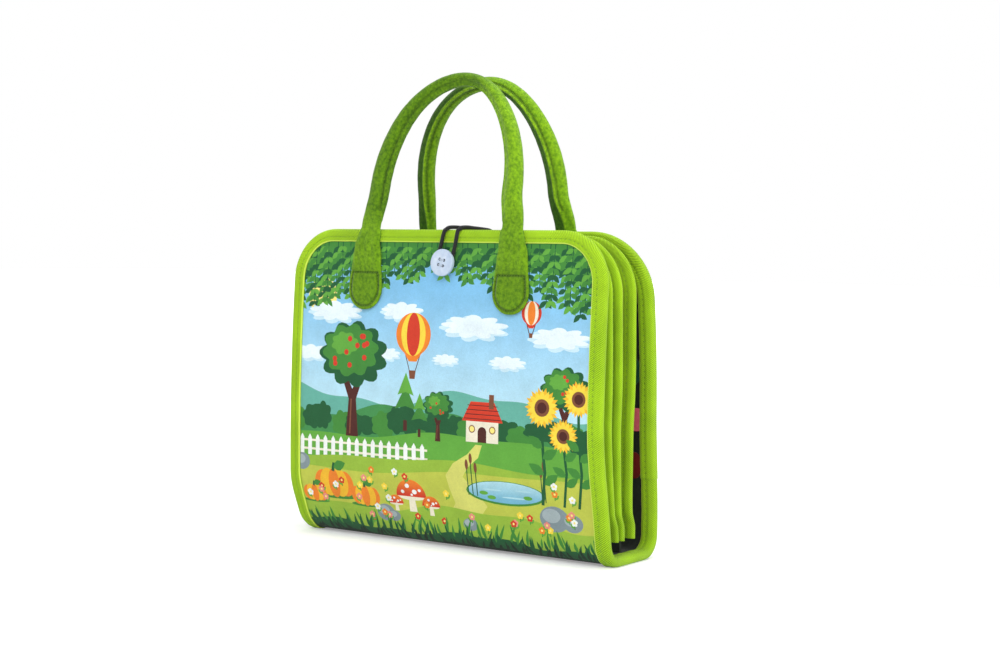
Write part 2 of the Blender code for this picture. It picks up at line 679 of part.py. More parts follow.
def loop_route(direction):
    """Route of one strand of the loop, from the anchor over the top and down to the button.

    Each line holds the strand's distance from the loop's middle, that middle, and its Y and Z.
    """
    radius = ELASTIC_DIAMETER / 2
    clear = radius + FIT
    top = COVER_TAPE_TOP + clear
    depth_top = cover_depth(COVER_TOP, FRONT)
    anchor_y = back_inner_face() - ANCHOR_THICKNESS - 2 * FIT
    shank_turn = SHANK_RADIUS + clear
    face = cover_depth(BUTTON_HEIGHT - shank_turn - ELASTIC_DIAMETER, FRONT) + clear
    over_tape = depth_top + TAPE_STEP + clear
    tape_edge = COVER_TOP - TAPE_WIDTH
    past_tape = cover_depth(tape_edge, FRONT) + TAPE_STEP + clear
    corner = (clear + 2 * FIT) * math.sin(math.radians(45))
    at_anchor, at_top, at_button = (LOOP_HALF_WIDTH_AT_ANCHOR, LOOP_HALF_WIDTH_AT_TOP,
                                    LOOP_HALF_WIDTH_AT_BUTTON)
    route = [
        (at_anchor, LOOP_MIDDLE, anchor_y, top - LOOP_SAG / 2),
        (at_anchor, LOOP_MIDDLE, anchor_y - 2 * ELASTIC_DIAMETER, top - LOOP_SAG / 2),
        (LOOP_HALF_WIDTH_AT_PAGES, LOOP_MIDDLE, 0, top - LOOP_SAG),
        ((LOOP_HALF_WIDTH_AT_PAGES + at_top) / 2, LOOP_MIDDLE, -depth_top / 2, top - LOOP_SAG / 2),
        (at_top, LOOP_MIDDLE, COVER_STACK - depth_top, top + FIT),
        (at_top, LOOP_MIDDLE, -depth_top, top + FIT),
        (at_top, LOOP_MIDDLE, -depth_top - TAPE_STEP - corner, COVER_TAPE_TOP + corner),
        (at_top, LOOP_MIDDLE, -over_tape - 2 * FIT, COVER_TAPE_TOP - radius),
        ((at_top + at_button) / 2, LOOP_MIDDLE_AT_TAPE_EDGE, -past_tape - FIT, tape_edge - radius),
        (at_button, BUTTON_MIDDLE, -face, BUTTON_HEIGHT + ELASTIC_DIAMETER),
        (shank_turn, BUTTON_MIDDLE, -face, BUTTON_HEIGHT - radius),
    ]
    for step in (1, 2, 3):
        angle = math.radians(90 * step / 3)
        route.append((shank_turn * math.cos(angle), BUTTON_MIDDLE, -face,
                      BUTTON_HEIGHT - radius - shank_turn * math.sin(angle)))
    return [Vector((middle + direction * half, y, z)) for half, middle, y, z in route]


def back_inner_face():
    """Y of the inner face of the back cover's tape, at the height of the anchor."""
    return cover_depth(COVER_TOP, BACK) - COVER_STACK - TAPE_STEP


def smooth_line(points, steps):
    """Read points from a smooth curve that passes through the given ones."""
    line = []
    last = len(points) - 1
    for index in range(last):
        before = points[max(index - 1, 0)]
        start = points[index]
        end = points[index + 1]
        after = points[min(index + 2, last)]
        for step in range(steps):
            share = step / steps
            line.append(0.5 * (2 * start + (end - before) * share
                               + (2 * before - 5 * start + 4 * end - after) * share ** 2
                               + (3 * start - before - 3 * end + after) * share ** 3))
    line.append(points[last])
    return line


def build_loop(pivot):
    """Elastic loop and the small tape that holds its ends on the back cover."""
    right = loop_route(1)
    left = loop_route(-1)[:-1]
    points = smooth_line(right + left[::-1], 3)
    curve = bpy.data.curves.new("loop", "CURVE")
    curve.dimensions = "3D"
    curve.bevel_depth = ELASTIC_DIAMETER / 2
    curve.bevel_resolution = 2
    curve.use_fill_caps = True
    spline = curve.splines.new("POLY")
    spline.points.add(len(points) - 1)
    for target, point in zip(spline.points, points):
        target.co = (*point, 1)
    mesh = evaluated_mesh(loose_object("loop", curve))
    add_piece("elastic_loop", mesh, BLACK, 0.8, pivot, smooth=True)
    near = back_inner_face() - FIT - ANCHOR_THICKNESS
    top = COVER_TAPE_TOP + ELASTIC_DIAMETER / 2
    outline = round_box(LOOP_MIDDLE - ANCHOR_HALF_WIDTH, LOOP_MIDDLE + ANCHOR_HALF_WIDTH,
                        top - ANCHOR_HEIGHT, top, ANCHOR_THICKNESS / 2)
    anchor = slab(outline, near, near + ANCHOR_THICKNESS, UPRIGHT)
    add_piece("elastic_anchor", anchor, BLACK, 0.9, pivot)


def build_patches(pivot):
    """Felt shapes on the back cover's lining, seen between the pages and the cover."""
    right = COVER_HALF_WIDTH - TAPE_WIDTH - PATCH_SIDE_GAP
    near = COVER_STACK + FIT
    for name, sizes, colour in (("pink_patch", PINK_PATCH, PINK), ("red_patch", RED_PATCH, RED),
                                ("teal_patch", TEAL_PATCH, TEAL)):
        outline = round_box(right - sizes["length"], right, sizes["low"], sizes["high"],
                            sizes["corner"])
        mesh = slab(outline, near, near + PATCH_THICKNESS, UPRIGHT)
        add_piece(name, bow_to_cover(mesh, BACK), colour, 0.95, pivot)


def main():
    """Build the whole book."""
    clear_scene()
    make_collection("quiet_book")
    make_collection("cutters")
    fold_depth = DEPTH_AT_FOLD + TAPE_STEP
    front_fold = add_pivot("front_fold", (0, -fold_depth, FOLD_HEIGHT))
    back_fold = add_pivot("back_fold", (0, fold_depth, FOLD_HEIGHT))
    build_spine()
    build_cover(FRONT, "front_cover", SKY, front_fold)
    build_cover(BACK, "back_cover", SKY, back_fold)
    build_tabs(FRONT, "front", front_fold)
    build_tabs(BACK, "back", back_fold)
    build_button(front_fold)
    build_loop(back_fold)
    build_patches(back_fold)
    front_top = add_pivot("front_handle_pivot", handle_hinge(FRONT, FRONT_HANDLE_LEAN_DEG),
                          -FRONT_HANDLE_LEAN_DEG)
    back_top = add_pivot("back_handle_pivot", handle_hinge(BACK, BACK_HANDLE_LEAN_DEG),
                         BACK_HANDLE_LEAN_DEG)
    build_handle(FRONT, "front_handle", front_top)
    build_handle(BACK, "back_handle", back_top)
    seams = (PAGE_1_SEAM, PAGE_2_SEAM, PAGE_3_SEAM)
    for number, (seam, lean) in enumerate(zip(seams, PAGE_LEANS_DEG), 1):
        build_page(number, seam, lean)


main()
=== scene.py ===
"""Dressed model of a felt quiet book that folds shut into a small bag with two handles."""

import logging
import math
from bisect import bisect_left
from dataclasses import dataclass
from enum import Enum
from typing import Callable, NamedTuple, Sequence, Union

import bmesh
import bpy
import numpy as np
from mathutils import Matrix, Vector
from mathutils.geometry import delaunay_2d_cdt


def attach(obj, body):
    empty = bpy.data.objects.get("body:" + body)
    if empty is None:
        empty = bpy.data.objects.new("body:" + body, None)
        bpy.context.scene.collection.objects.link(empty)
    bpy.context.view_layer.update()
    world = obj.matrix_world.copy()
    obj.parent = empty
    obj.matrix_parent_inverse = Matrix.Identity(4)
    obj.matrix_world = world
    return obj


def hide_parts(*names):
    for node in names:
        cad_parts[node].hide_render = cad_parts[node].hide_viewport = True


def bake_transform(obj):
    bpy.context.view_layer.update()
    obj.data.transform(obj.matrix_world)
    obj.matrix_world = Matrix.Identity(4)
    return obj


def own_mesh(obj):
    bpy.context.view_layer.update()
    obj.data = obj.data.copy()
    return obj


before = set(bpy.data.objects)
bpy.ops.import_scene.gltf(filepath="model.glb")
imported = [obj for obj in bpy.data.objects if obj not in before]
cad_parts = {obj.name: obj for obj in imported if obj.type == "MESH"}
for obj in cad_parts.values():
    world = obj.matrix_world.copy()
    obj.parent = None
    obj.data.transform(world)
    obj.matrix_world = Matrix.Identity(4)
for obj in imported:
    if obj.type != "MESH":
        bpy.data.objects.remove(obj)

LOG = logging.getLogger("quiet_book")
Colour = tuple[float, float, float]
Outline = list[tuple[float, float]]
Place = Callable[[float, float, float], Vector]
Socket = bpy.types.NodeSocket
Value = Union[Socket, float, Colour]
Finishes = dict[str, bpy.types.Material]

TAPE_WIDTH = 0.0090      # how far the covers' tape reaches in on each face
TAPE_TOP = 0.2501        # top of the covers' tape
SEAM_INSET = 0.0038      # how far the tape's stitches lie from its inner edge
CLEAR = 0.0003           # room between two layers
MM = 1000                # millimetres in a metre
UNSEWN = 0.02            # distance that is noted where no seam is near
BUTTON_MIDDLE = 0.0045   # x of the button
BUTTON_HEIGHT = 0.2245   # z of the button

# Place of each page's web along Y, its lean in degrees and its bow
PAGES = ((-0.026, 0.8, 0.0030), (-0.020, 3.3, 0.0060), (-0.005, 4.6, 0.0070))


class Side(Enum):
    """Which cover a piece belongs to, with the sign of its Y."""

    FRONT = -1
    BACK = 1

    @property
    def label(self) -> str:
        """Word for this side in the names of pieces."""
        return self.name.lower()

    @property
    def cover(self) -> str:
        """Name of the CAD body of this cover."""
        return self.label + "_cover"

    @property
    def handle(self) -> str:
        """Name of the CAD body of this handle."""
        return self.label + "_handle"


def ease(share: float) -> float:
    """Smooth step from 0 to 1."""
    share = min(max(share, 0.0), 1.0)
    return share * share * (3 - 2 * share)


def lengths_along(points: Sequence[Sequence[float]]) -> list[float]:
    """Length of a line up to each of its points.

    Args:
        points: its points.

    Returns:
        The lengths, from 0.
    """
    lengths = [0.0]
    for first, second in zip(points, points[1:]):
        lengths.append(lengths[-1] + math.dist(first, second))
    return lengths


def share_at(lengths: Sequence[float], target: float) -> tuple[int, float]:
    """Find a length in a list of growing ones.

    Args:
        lengths: the list.
        target: the length to find.

    Returns:
        Number of the stretch that holds it, and how far along that stretch it lies.
    """
    index = bisect_left(lengths, target, 1, len(lengths) - 1) - 1
    start, end = lengths[index], lengths[index + 1]
    return index, (target - start) / max(end - start, 1e-9)


def run_at(points: Sequence[Sequence[float]], index: int) -> Vector:
    """Direction of a line at one of its points.

    Args:
        points: its points.
        index: number of the point.

    Returns:
        The direction, of length 1.
    """
    before, after = points[max(index - 1, 0)], points[min(index + 1, len(points) - 1)]
    return Vector([b - a for a, b in zip(before, after)]).normalized()

class RimPoint(NamedTuple):
    """A point on a panel's edge, its outward normal and the length so far."""

    x: float
    v: float
    out_x: float
    out_v: float
    along: float


@dataclass(frozen=True)
class RoundTopPanel:
    """A flat panel with a straight foot and two round upper corners.

    Args:
        half: half the width.
        low: height of the foot.
        top: height of the upper edge.
        corner: radius of the upper corners.
    """

    half: float
    low: float
    top: float
    corner: float

    def shrunk(self, inset: float) -> "RoundTopPanel":
        """The same panel, smaller by an inset on its three bound sides."""
        return RoundTopPanel(self.half - inset, self.low, self.top - inset, self.corner - inset)

    def rim(self, step: float = 0.003) -> list[RimPoint]:
        """Points up the left side, over the top and down the right side of the panel.

        Args:
            step: spacing of the points.

        Returns:
            The points in order, with outward normals.
        """
        rise = self.top - self.corner - self.low
        run = 2 * (self.half - self.corner)
        up, over = max(int(rise / step), 2), max(int(run / step), 2)
        turn, quarter = max(int(self.corner * math.pi / 2 / step), 8), math.pi / 2
        points = [(-self.half, self.low + rise * index / up, -1.0, 0.0) for index in range(up)]
        points += [self._on_arc(-1, math.pi - quarter * index / turn) for index in range(turn)]
        points += [(self.corner - self.half + run * index / over, self.top, 0.0, 1.0)
                   for index in range(over)]
        points += [self._on_arc(1, quarter - quarter * index / turn) for index in range(turn)]
        points += [(self.half, self.low + rise * (1 - index / up), 1.0, 0.0)
                   for index in range(up + 1)]
        lengths = lengths_along([point[:2] for point in points])
        return [RimPoint(*point, along) for point, along in zip(points, lengths)]

    def _on_arc(self, sign: int, angle: float) -> tuple[float, float, float, float]:
        """A point of a round corner and its normal.

        Args:
            sign: -1 at the left corner and 1 at the right one.
            angle: direction from the corner's centre.

        Returns:
            Its x and v and those of its normal.
        """
        out_x, out_v = math.cos(angle), math.sin(angle)
        return (sign * (self.half - self.corner) + self.corner * out_x,
                self.top - self.corner + self.corner * out_v, out_x, out_v)

    def outline(self, step: float = 0.004) -> Outline:
        """Closed outline of the panel."""
        return [(point.x, point.v) for point in self.rim(step)]


@dataclass(frozen=True)
class CoverShape:
    """Shape of the closed book: two bowed covers on a round-cornered spine.

    A place on a cover is given by x, by v, which is the height on the cover and runs on round
    the spine below the fold, and by how far it stands off the outer felt.

    Args:
        corners: radius of the front and of the back cover's top corners.
        flat_half: half the flat part of the spine.
        depth_fold: depth of a cover from the middle plane at its fold.
        front_depths: depth of the front cover at its belly and at its top.
        back_depths: the same of the back cover.
        belly_share: height of the belly as a share of the cover.
        foot_back: how far back the foot stands.
        foot_narrow: share by which the foot is narrower.
        lean_height: height over which the book leans forward.
        lean_slope: how much higher that is further right.
    """

    half_width: float = 0.149
    top: float = 0.249
    corners: tuple[float, float] = (0.039, 0.049)
    fold: float = 0.0191
    spine_radius: float = 0.018
    flat_half: float = 0.020
    depth_fold: float = 0.038
    front_depths: tuple[float, float] = (0.0395, 0.0325)
    back_depths: tuple[float, float] = (0.0425, 0.0285)
    belly_share: float = 0.36
    stack: float = 0.0050
    foot_back: float = 0.0115
    foot_narrow: float = 0.0385
    lean_height: float = 0.082
    lean_slope: float = 0.21

    @property
    def foot(self) -> float:
        """Lowest v, at the middle of the spine."""
        return self.fold - self.spine_radius * math.pi / 2 - self.flat_half

    def depth(self, height: float, side: Side) -> float:
        """Depth of the outer felt from the middle plane, by a curve through three depths.

        Args:
            height: height on the cover.
            side: the cover.

        Returns:
            The depth.
        """
        belly = self.fold + self.belly_share * (self.top - self.fold)
        at_belly, at_top = self.front_depths if side is Side.FRONT else self.back_depths
        knots = ((self.fold, self.depth_fold), (belly, at_belly), (self.top, at_top))
        total = 0.0
        for place, value in knots:
            others = [other for other, _ in knots if other != place]
            total += value * math.prod((height - other) / (place - other) for other in others)
        return total

    def settle(self, point: Vector) -> Vector:
        """Carry a point of the upright book to where it lies, leaning forward over its foot.

        Args:
            point: the point of the upright book.

        Returns:
            The point of the leaning book.
        """
        share = 1 - ease(point.z / (self.lean_height + self.lean_slope * point.x))
        shift = (self.foot_back - self.foot_narrow * point.y) * share
        return Vector((point.x, point.y + shift, point.z))

    def place(self, side: Side, x: float, v: float, off: float) -> Vector:
        """Carry a place on a cover into the book's frame.

        Args:
            side: the cover.
            x: place across the cover.
            v: place up the cover.
            off: how far it stands off the outer felt; layers inside have a negative one.

        Returns:
            The point.
        """
        if v >= self.fold:
            return self.settle(Vector((x, side.value * (self.depth(v, side) + off), v)))
        down = self.fold - v
        angle, reach = down / self.spine_radius, self.spine_radius + off
        if angle < math.pi / 2:
            depth = self.flat_half + reach * math.cos(angle)
            height = self.fold - reach * math.sin(angle)
        else:
            depth = self.flat_half - (down - self.spine_radius * math.pi / 2)
            height = self.fold - self.spine_radius - off
        return self.settle(Vector((x, side.value * depth, max(height, 0.0))))

    def on(self, side: Side) -> Place:
        """The place function of one cover."""
        return lambda x, v, off: self.place(side, x, v, off)

    def corner(self, side: Side) -> float:
        """Radius of a cover's top corners; the back one's are rounder."""
        return self.corners[0 if side is Side.FRONT else 1]

    def panel(self, side: Side) -> RoundTopPanel:
        """Outline of a cover with its half of the spine."""
        return RoundTopPanel(self.half_width, self.foot, self.top, self.corner(side))


BOOK = CoverShape()


def make_object(mesh: bpy.types.Mesh, work: bmesh.types.BMesh,
                materials: Sequence[bpy.types.Material], smooth_deg: float) -> bpy.types.Object:
    """Finish a mesh and link its object to the scene.

    Args:
        mesh: the mesh to fill.
        work: its faces, which are turned outwards and then let go.
        materials: its finishes, by number.
        smooth_deg: edges sharper than this stay sharp.

    Returns:
        The object.
    """
    bmesh.ops.recalc_face_normals(work, faces=work.faces)
    work.to_mesh(mesh)
    work.free()
    for material in materials:
        mesh.materials.append(material)
    mesh.shade_smooth()
    mesh.set_sharp_from_angle(angle=math.radians(smooth_deg))
    item = bpy.data.objects.new(mesh.name, mesh)
    bpy.context.scene.collection.objects.link(item)
    return item


class MeshDraft:
    """Collects points and faces, with map places and finish numbers, for one mesh."""

    def __init__(self) -> None:
        """Start with nothing."""
        self.points: list[Vector] = []
        self.faces: list[tuple[int, ...]] = []
        self.finish: list[int] = []
        self.maps: list[Outline] = []
        self.marks: dict[str, list[float]] = {}

    def add_point(self, point: Vector) -> int:
        """Add a point and give its number."""
        self.points.append(point)
        return len(self.points) - 1

    def add_face(self, corners: Sequence[int], finish: int = 0,
                 uv: Sequence[tuple[float, float]] | None = None) -> None:
        """Add a face.

        Args:
            corners: numbers of its points.
            finish: number of its finish.
            uv: map places of its corners.
        """
        self.faces.append(tuple(corners))
        self.finish.append(finish)
        self.maps.append(list(uv) if uv else [(0.0, 0.0)] * len(corners))

    def add_rings(self, rings: list[list[Vector]], around: list[float], along: list[float],
                  finish: int = 0, caps: bool = True) -> None:
        """Add a closed tube through rings of points.

        Args:
            rings: the rings, each closed on itself.
            around: length round a ring at each of its points and once more at the end.
            along: length along the tube at each ring.
            finish: number of its finish.
            caps: whether its two ends are closed.
        """
        numbers = [[self.add_point(point) for point in ring] for ring in rings]
        sides = len(numbers[0])
        for row in range(len(numbers) - 1):
            for step in range(sides):
                after = (step + 1) % sides
                uv = ((along[row], around[step]), (along[row], around[step + 1]),
                      (along[row + 1], around[step + 1]), (along[row + 1], around[step]))
                self.add_face((numbers[row][step], numbers[row][after],
                               numbers[row + 1][after], numbers[row + 1][step]), finish, uv)
        if caps:
            self.add_face(numbers[0][::-1], finish)
            self.add_face(numbers[-1], finish)

    def add_stitch(self, start: Vector, end: Vector, normal: Vector, width: float,
                   height: float, finish: int = 1) -> None:
        """Add one stitch: a small pill of thread that lies on a surface.

        Args:
            start: where it comes out.
            end: where it goes in.
            normal: the surface's normal.
            width: its width.
            height: how far it stands up.
            finish: number of its finish.
        """
        run = end - start
        across = normal.cross(run).normalized() * width / 2
        lift = normal.normalized() * height
        rings = [[self.add_point(start + run * share
                                 + across * (math.cos(math.pi * step / 3) * size)
                                 + lift * (math.sin(math.pi * step / 3) * size))
                  for step in range(6)] for share, size in ((0.16, 0.78), (0.5, 1.0), (0.84, 0.78))]
        first, last = self.add_point(start), self.add_point(end)
        for step in range(6):
            after = (step + 1) % 6
            self.add_face((first, rings[0][after], rings[0][step]), finish)
            self.add_face((last, rings[2][step], rings[2][after]), finish)
            for low, high in ((rings[0], rings[1]), (rings[1], rings[2])):
                self.add_face((low[step], low[after], high[after], high[step]), finish)

    def build(self, name: str, materials: Sequence[bpy.types.Material],
              smooth_deg: float = 40.0) -> bpy.types.Object:
        """Make the object.

        Args:
            name: its name.
            materials: its finishes, by number.
            smooth_deg: edges sharper than this stay sharp.

        Returns:
            The object, linked to the scene.
        """
        mesh = bpy.data.meshes.new(name)
        mesh.from_pydata([tuple(point) for point in self.points], [], self.faces)
        flat = [value for face in self.maps for place in face for value in place]
        mesh.uv_layers.new(name="UVMap").data.foreach_set("uv", flat)
        mesh.polygons.foreach_set("material_index", self.finish)
        work = bmesh.new()
        work.from_mesh(mesh)
        item = make_object(mesh, work, materials, smooth_deg)
        for label, values in self.marks.items():
            values = values + [UNSEWN] * (len(self.points) - len(values))
            mesh.attributes.new(label, "FLOAT", "POINT").data.foreach_set("value", values)
        return item


class NodeTree:
    """Short calls for making and linking shader nodes."""

    def __init__(self, tree: bpy.types.NodeTree) -> None:
        """Work on one node tree."""
        self.tree = tree

    def node(self, kind: str, **values: object) -> bpy.types.Node:
        """Add a node and set its properties.

        Args:
            kind: the node's type, without ShaderNode.
            values: properties by name.

        Returns:
            The node.
        """
        made = self.tree.nodes.new(kind if kind.startswith("Node") else "ShaderNode" + kind)
        for name, value in values.items():
            setattr(made, name, value)
        return made

    def feed(self, value: Value, socket: Socket) -> None:
        """Link a socket, or set a plain value or colour.

        Args:
            value: the socket, number or colour.
            socket: the input that gets it.
        """
        if isinstance(value, Socket):
            self.tree.links.new(value, socket)
        else:
            socket.default_value = (*value, 1.0) if isinstance(value, tuple) else value

    def out(self, kind: str, inputs: dict[str | int, Value], **values: object) -> Socket:
        """Add a node, feed its inputs by name or number, and give its first output.

        Args:
            kind: the node's type, without ShaderNode.
            inputs: values or sockets by name or number.
            values: properties by name.

        Returns:
            Its first output.
        """
        made = self.node(kind, **values)
        for label, value in inputs.items():
            self.feed(value, made.inputs[label])
        return made.outputs[0]

    def math(self, operation: str, *inputs: Value) -> Socket:
        """Add a math node on sockets or numbers."""
        return self.out("Math", dict(enumerate(inputs)), operation=operation)

    def times(self, first: Value, second: Value, plus: Value = 0.0) -> Socket:
        """Multiply two values and add a third."""
        return self.math("MULTIPLY_ADD", first, second, plus)

    def place(self) -> Socket:
        """The object's own coordinates."""
        return self.node("TexCoord").outputs["Object"]

    def mark(self, name: str) -> Socket:
        """A value that the mesh holds for each point."""
        return self.node("Attribute", attribute_name=name).outputs["Fac"]

    def map(self) -> tuple[Socket, Socket, Socket]:
        """The piece's own map, in metres, with its two parts.

        Returns:
            The map's vector, its length and its width.
        """
        uv = self.node("UVMap", uv_map="UVMap").outputs[0]
        parts = self.node("SeparateXYZ")
        self.feed(uv, parts.inputs[0])
        return uv, parts.outputs["X"], parts.outputs["Y"]

    def noise(self, place: Socket, scale: Value, detail: float = 3.0, rough: float = 0.55,
              low: float = 0.0, high: float = 1.0) -> Socket:
        """Add a noise texture and give its value.

        Args:
            place: the coordinate that it reads.
            scale: how many swells fall on a metre.
            detail: layers of finer noise.
            rough: strength of the finer layers.
            low: value that becomes 0.
            high: value that becomes 1.

        Returns:
            The noise value.
        """
        value = self.out("TexNoise", {"Vector": place, "Scale": scale, "Detail": detail,
                                      "Roughness": rough})
        return value if high == 1.0 else self.ramp(value, low, high)

    def mix(self, share: Value, first: Value, second: Value, blend: str = "MIX") -> Socket:
        """Mix two colours.

        Args:
            share: how much of the second.
            first: colour or socket.
            second: colour or socket.
            blend: blend mode.

        Returns:
            The mixed colour.
        """
        made = self.node("Mix", data_type="RGBA", blend_type=blend)
        for value, socket in ((share, 0), (first, 6), (second, 7)):
            self.feed(value, made.inputs[socket])
        return made.outputs[2]

    def paint_shading(self, share: Value, tone: Socket, shading_colour: Colour) -> Socket:
        """Multiply a colour by another colour, by some share; used to paint shade and highlights.
        """
        return self.mix(share, tone, self.mix(1.0, tone, shading_colour, "MULTIPLY"))

    def scaled(self, tone: Socket, shade: Socket) -> Socket:
        """Multiply a colour by a value."""
        return self.out("VectorMath", {0: tone, "Scale": shade}, operation="SCALE")

    def ramp(self, value: Socket, low: float, high: float) -> Socket:
        """Stretch a value from low to high onto 0 to 1."""
        return self.out("MapRange", {"Value": value, "From Min": low, "From Max": high})


def new_group(name: str, inputs: dict[str, float | Colour], *outputs: str) -> tuple[
        bpy.types.ShaderNodeTree, NodeTree, Sequence[Socket], Sequence[Socket]]:
    """Start a node group with named sockets.

    Args:
        name: its name.
        inputs: socket names with their starting values.
        outputs: socket names; one called Color is a colour.

    Returns:
        The group, its node maker, its given sockets and its result sockets.
    """
    tree = bpy.data.node_groups.new(name, "ShaderNodeTree")
    maker = NodeTree(tree)
    for label, value in inputs.items():
        kind = "NodeSocketColor" if isinstance(value, tuple) else "NodeSocketFloat"
        maker.feed(value, tree.interface.new_socket(label, in_out="INPUT", socket_type=kind))
    for label in outputs:
        kind = "NodeSocketColor" if label == "Color" else "NodeSocketFloat"
        tree.interface.new_socket(label, in_out="OUTPUT", socket_type=kind)
    return tree, maker, maker.node("NodeGroupInput").outputs, maker.node("NodeGroupOutput").inputs


class EffectGroups:
    """The node groups that the finishes share, each built once."""

    def __init__(self) -> None:
        """Build every group."""
        self.felt = self._felt()
        self.twill = self._twill()
        self.strands = self._strands()
        self.wear = self._wear()

    def _felt(self) -> bpy.types.ShaderNodeTree:
        """Pressed felt: fibres, small clumps and soft shade from place to place.

        Returns:
            The group.
        """
        tree, maker, given, result = new_group(
            "pressed_felt", {"Color": (0.5, 0.5, 0.5), "Clump Color": (0.4, 0.4, 0.4),
                             "Mottle": 0.5, "Fibre Scale": 1400.0}, "Color", "Height")
        place = maker.place()
        clumps = maker.noise(place, 420.0, 4.0, 0.62, 0.36, 0.68)
        broad = maker.noise(place, 55.0, 2.0, 0.55, 0.3, 0.7)
        fibres = maker.noise(place, given["Fibre Scale"], 2.0, 0.7)
        share = maker.times(clumps, given["Mottle"])
        tone = maker.mix(share, given["Color"], given["Clump Color"])
        shade = maker.times(fibres, 0.36, maker.times(broad, 0.12, 0.76))
        maker.feed(maker.scaled(tone, shade), result["Color"])
        maker.feed(maker.times(fibres, 0.6, maker.times(clumps, 0.4)), result["Height"])
        return tree

    def _twill(self) -> bpy.types.ShaderNodeTree:
        """Twill tape: slanting ribs by the tape's own map, which is in metres.

        Returns:
            The group.
        """
        tree, maker, given, result = new_group(
            "twill_tape", {"Color": (0.3, 0.6, 0.02), "Rib Color": (0.2, 0.4, 0.01),
                           "Ribs": 1000.0}, "Color", "Height")
        uv, along, across = maker.map()
        wobble = maker.times(maker.noise(uv, 240.0, 2.0), 0.0012)
        slant = maker.math("ADD", maker.times(across, 0.8, along), wobble)
        phase = maker.times(maker.times(slant, given["Ribs"]), 2 * math.pi)
        wave = maker.times(maker.math("SINE", phase), 0.5, 0.5)
        place = maker.place()
        yarn = maker.noise(place, 1800.0, 2.0, 0.7)
        broad = maker.noise(place, 40.0, 2.0, 0.55, 0.3, 0.7)
        patch = maker.noise(place, 22.0, 2.0, 0.55, 0.35, 0.65)
        groove = maker.times(maker.math("SUBTRACT", 1.0, wave), maker.times(patch, 0.40, 0.50))
        tone = maker.mix(groove, given["Color"], given["Rib Color"])
        shade = maker.times(yarn, 0.30, maker.times(broad, 0.14, 0.80))
        maker.feed(maker.scaled(tone, shade), result["Color"])
        maker.feed(maker.times(yarn, 0.35, wave), result["Height"])
        return tree

    def _strands(self) -> bpy.types.ShaderNodeTree:
        """Twisted or braided strands by the piece's own map.

        Returns:
            The group.
        """
        tree, maker, given, result = new_group(
            "strands", {"Along": 700.0, "Around": 600.0}, "Mask")
        _, along, across = maker.map()
        lengths = maker.times(along, given["Along"])
        girths = maker.times(across, given["Around"])
        waves = [maker.math("SINE", maker.times(maker.math(way, lengths, girths), 2 * math.pi))
                 for way in ("ADD", "SUBTRACT")]
        maker.feed(maker.times(maker.math("MAXIMUM", *waves), 0.5, 0.5), result["Mask"])
        return tree

    def _wear(self) -> bpy.types.ShaderNodeTree:
        """Rubbed places: a mask of soft patches, stronger where the surface bulges.

        Returns:
            The group.
        """
        tree, maker, given, result = new_group(
            "rubbed", {"Amount": 0.3, "Patch Scale": 60.0}, "Mask")
        bulge = maker.ramp(maker.node("NewGeometry").outputs["Pointiness"], 0.50, 0.58)
        patch = maker.noise(maker.place(), given["Patch Scale"], 4.0, 0.55, 0.35, 0.75)
        maker.feed(maker.times(maker.times(bulge, patch), given["Amount"]), result["Mask"])
        return tree


EFFECTS = EffectGroups()


def place_group(maker: NodeTree, group: bpy.types.ShaderNodeTree,
                values: dict[str, Value]) -> Sequence[Socket]:
    """Place a shared node group in a material.

    Args:
        maker: the material's node maker.
        group: the group.
        values: its values or links, by socket name.

    Returns:
        The group's outputs.
    """
    made = maker.node("Group", node_tree=group)
    for label, value in values.items():
        maker.feed(value, made.inputs[label])
    return made.outputs


def rub(maker: NodeTree, tone: Socket, amount: float, scale: float, strength: float,
        blue: float) -> Socket:
    """Lighten a colour where it is rubbed.

    Args:
        maker: the material's node maker.
        tone: the colour.
        amount: how much is rubbed.
        scale: patches on a metre.
        strength: how light a rubbed place gets.
        blue: blue of the light, whose red and green are 1.

    Returns:
        The colour with its rubbed places.
    """
    rubbed = place_group(maker, EFFECTS.wear, {"Amount": amount, "Patch Scale": scale})
    light = maker.mix(strength, tone, (1.0, 1.0, blue), "SOFT_LIGHT")
    return maker.mix(rubbed["Mask"], tone, light)


class Surface(NamedTuple):
    """What the pattern of a finish gives: colour, height, its depth and any roughness."""

    tone: Socket
    height: Socket
    depth: float
    roughness: Socket | None = None


@dataclass(frozen=True)
class Finish:
    """A material: what every finish of the book shares.

    Args:
        name: name of the material.
        colour: main colour.
        second: colour of its clumps, grooves, cloud or flecks.
    """

    name: str
    colour: Colour
    second: Colour

    def material(self) -> bpy.types.Material:
        """Build the material.

        Returns:
            The material.
        """
        made = bpy.data.materials.new(self.name)
        made.use_nodes = True
        maker = NodeTree(made.node_tree)
        shader = made.node_tree.nodes["Principled BSDF"].inputs
        settings = {"Specular IOR Level": 0.25, "Sheen Roughness": 0.5, **self.settings()}
        for label, value in settings.items():
            shader[label].default_value = value
        made_of = self.surface(maker)
        bump = maker.out("Bump", {"Height": made_of.height, "Distance": made_of.depth})
        maker.feed(made_of.tone, shader["Base Color"])
        maker.feed(bump, shader["Normal"])
        if made_of.roughness is not None:
            maker.feed(made_of.roughness, shader["Roughness"])
        return made

    def settings(self) -> dict[str, float]:
        """Plain shader values by name."""
        return {"Roughness": 0.85}

    def surface(self, maker: NodeTree) -> Surface:
        """Make the pattern of the surface.

        Args:
            maker: the material's node maker.

        Returns:
            The pattern.
        """
        flecks = maker.noise(maker.place(), 700.0, 4.0, 0.55, 0.4, 0.7)
        return Surface(maker.mix(flecks, self.colour, self.second), flecks, 0.00005)


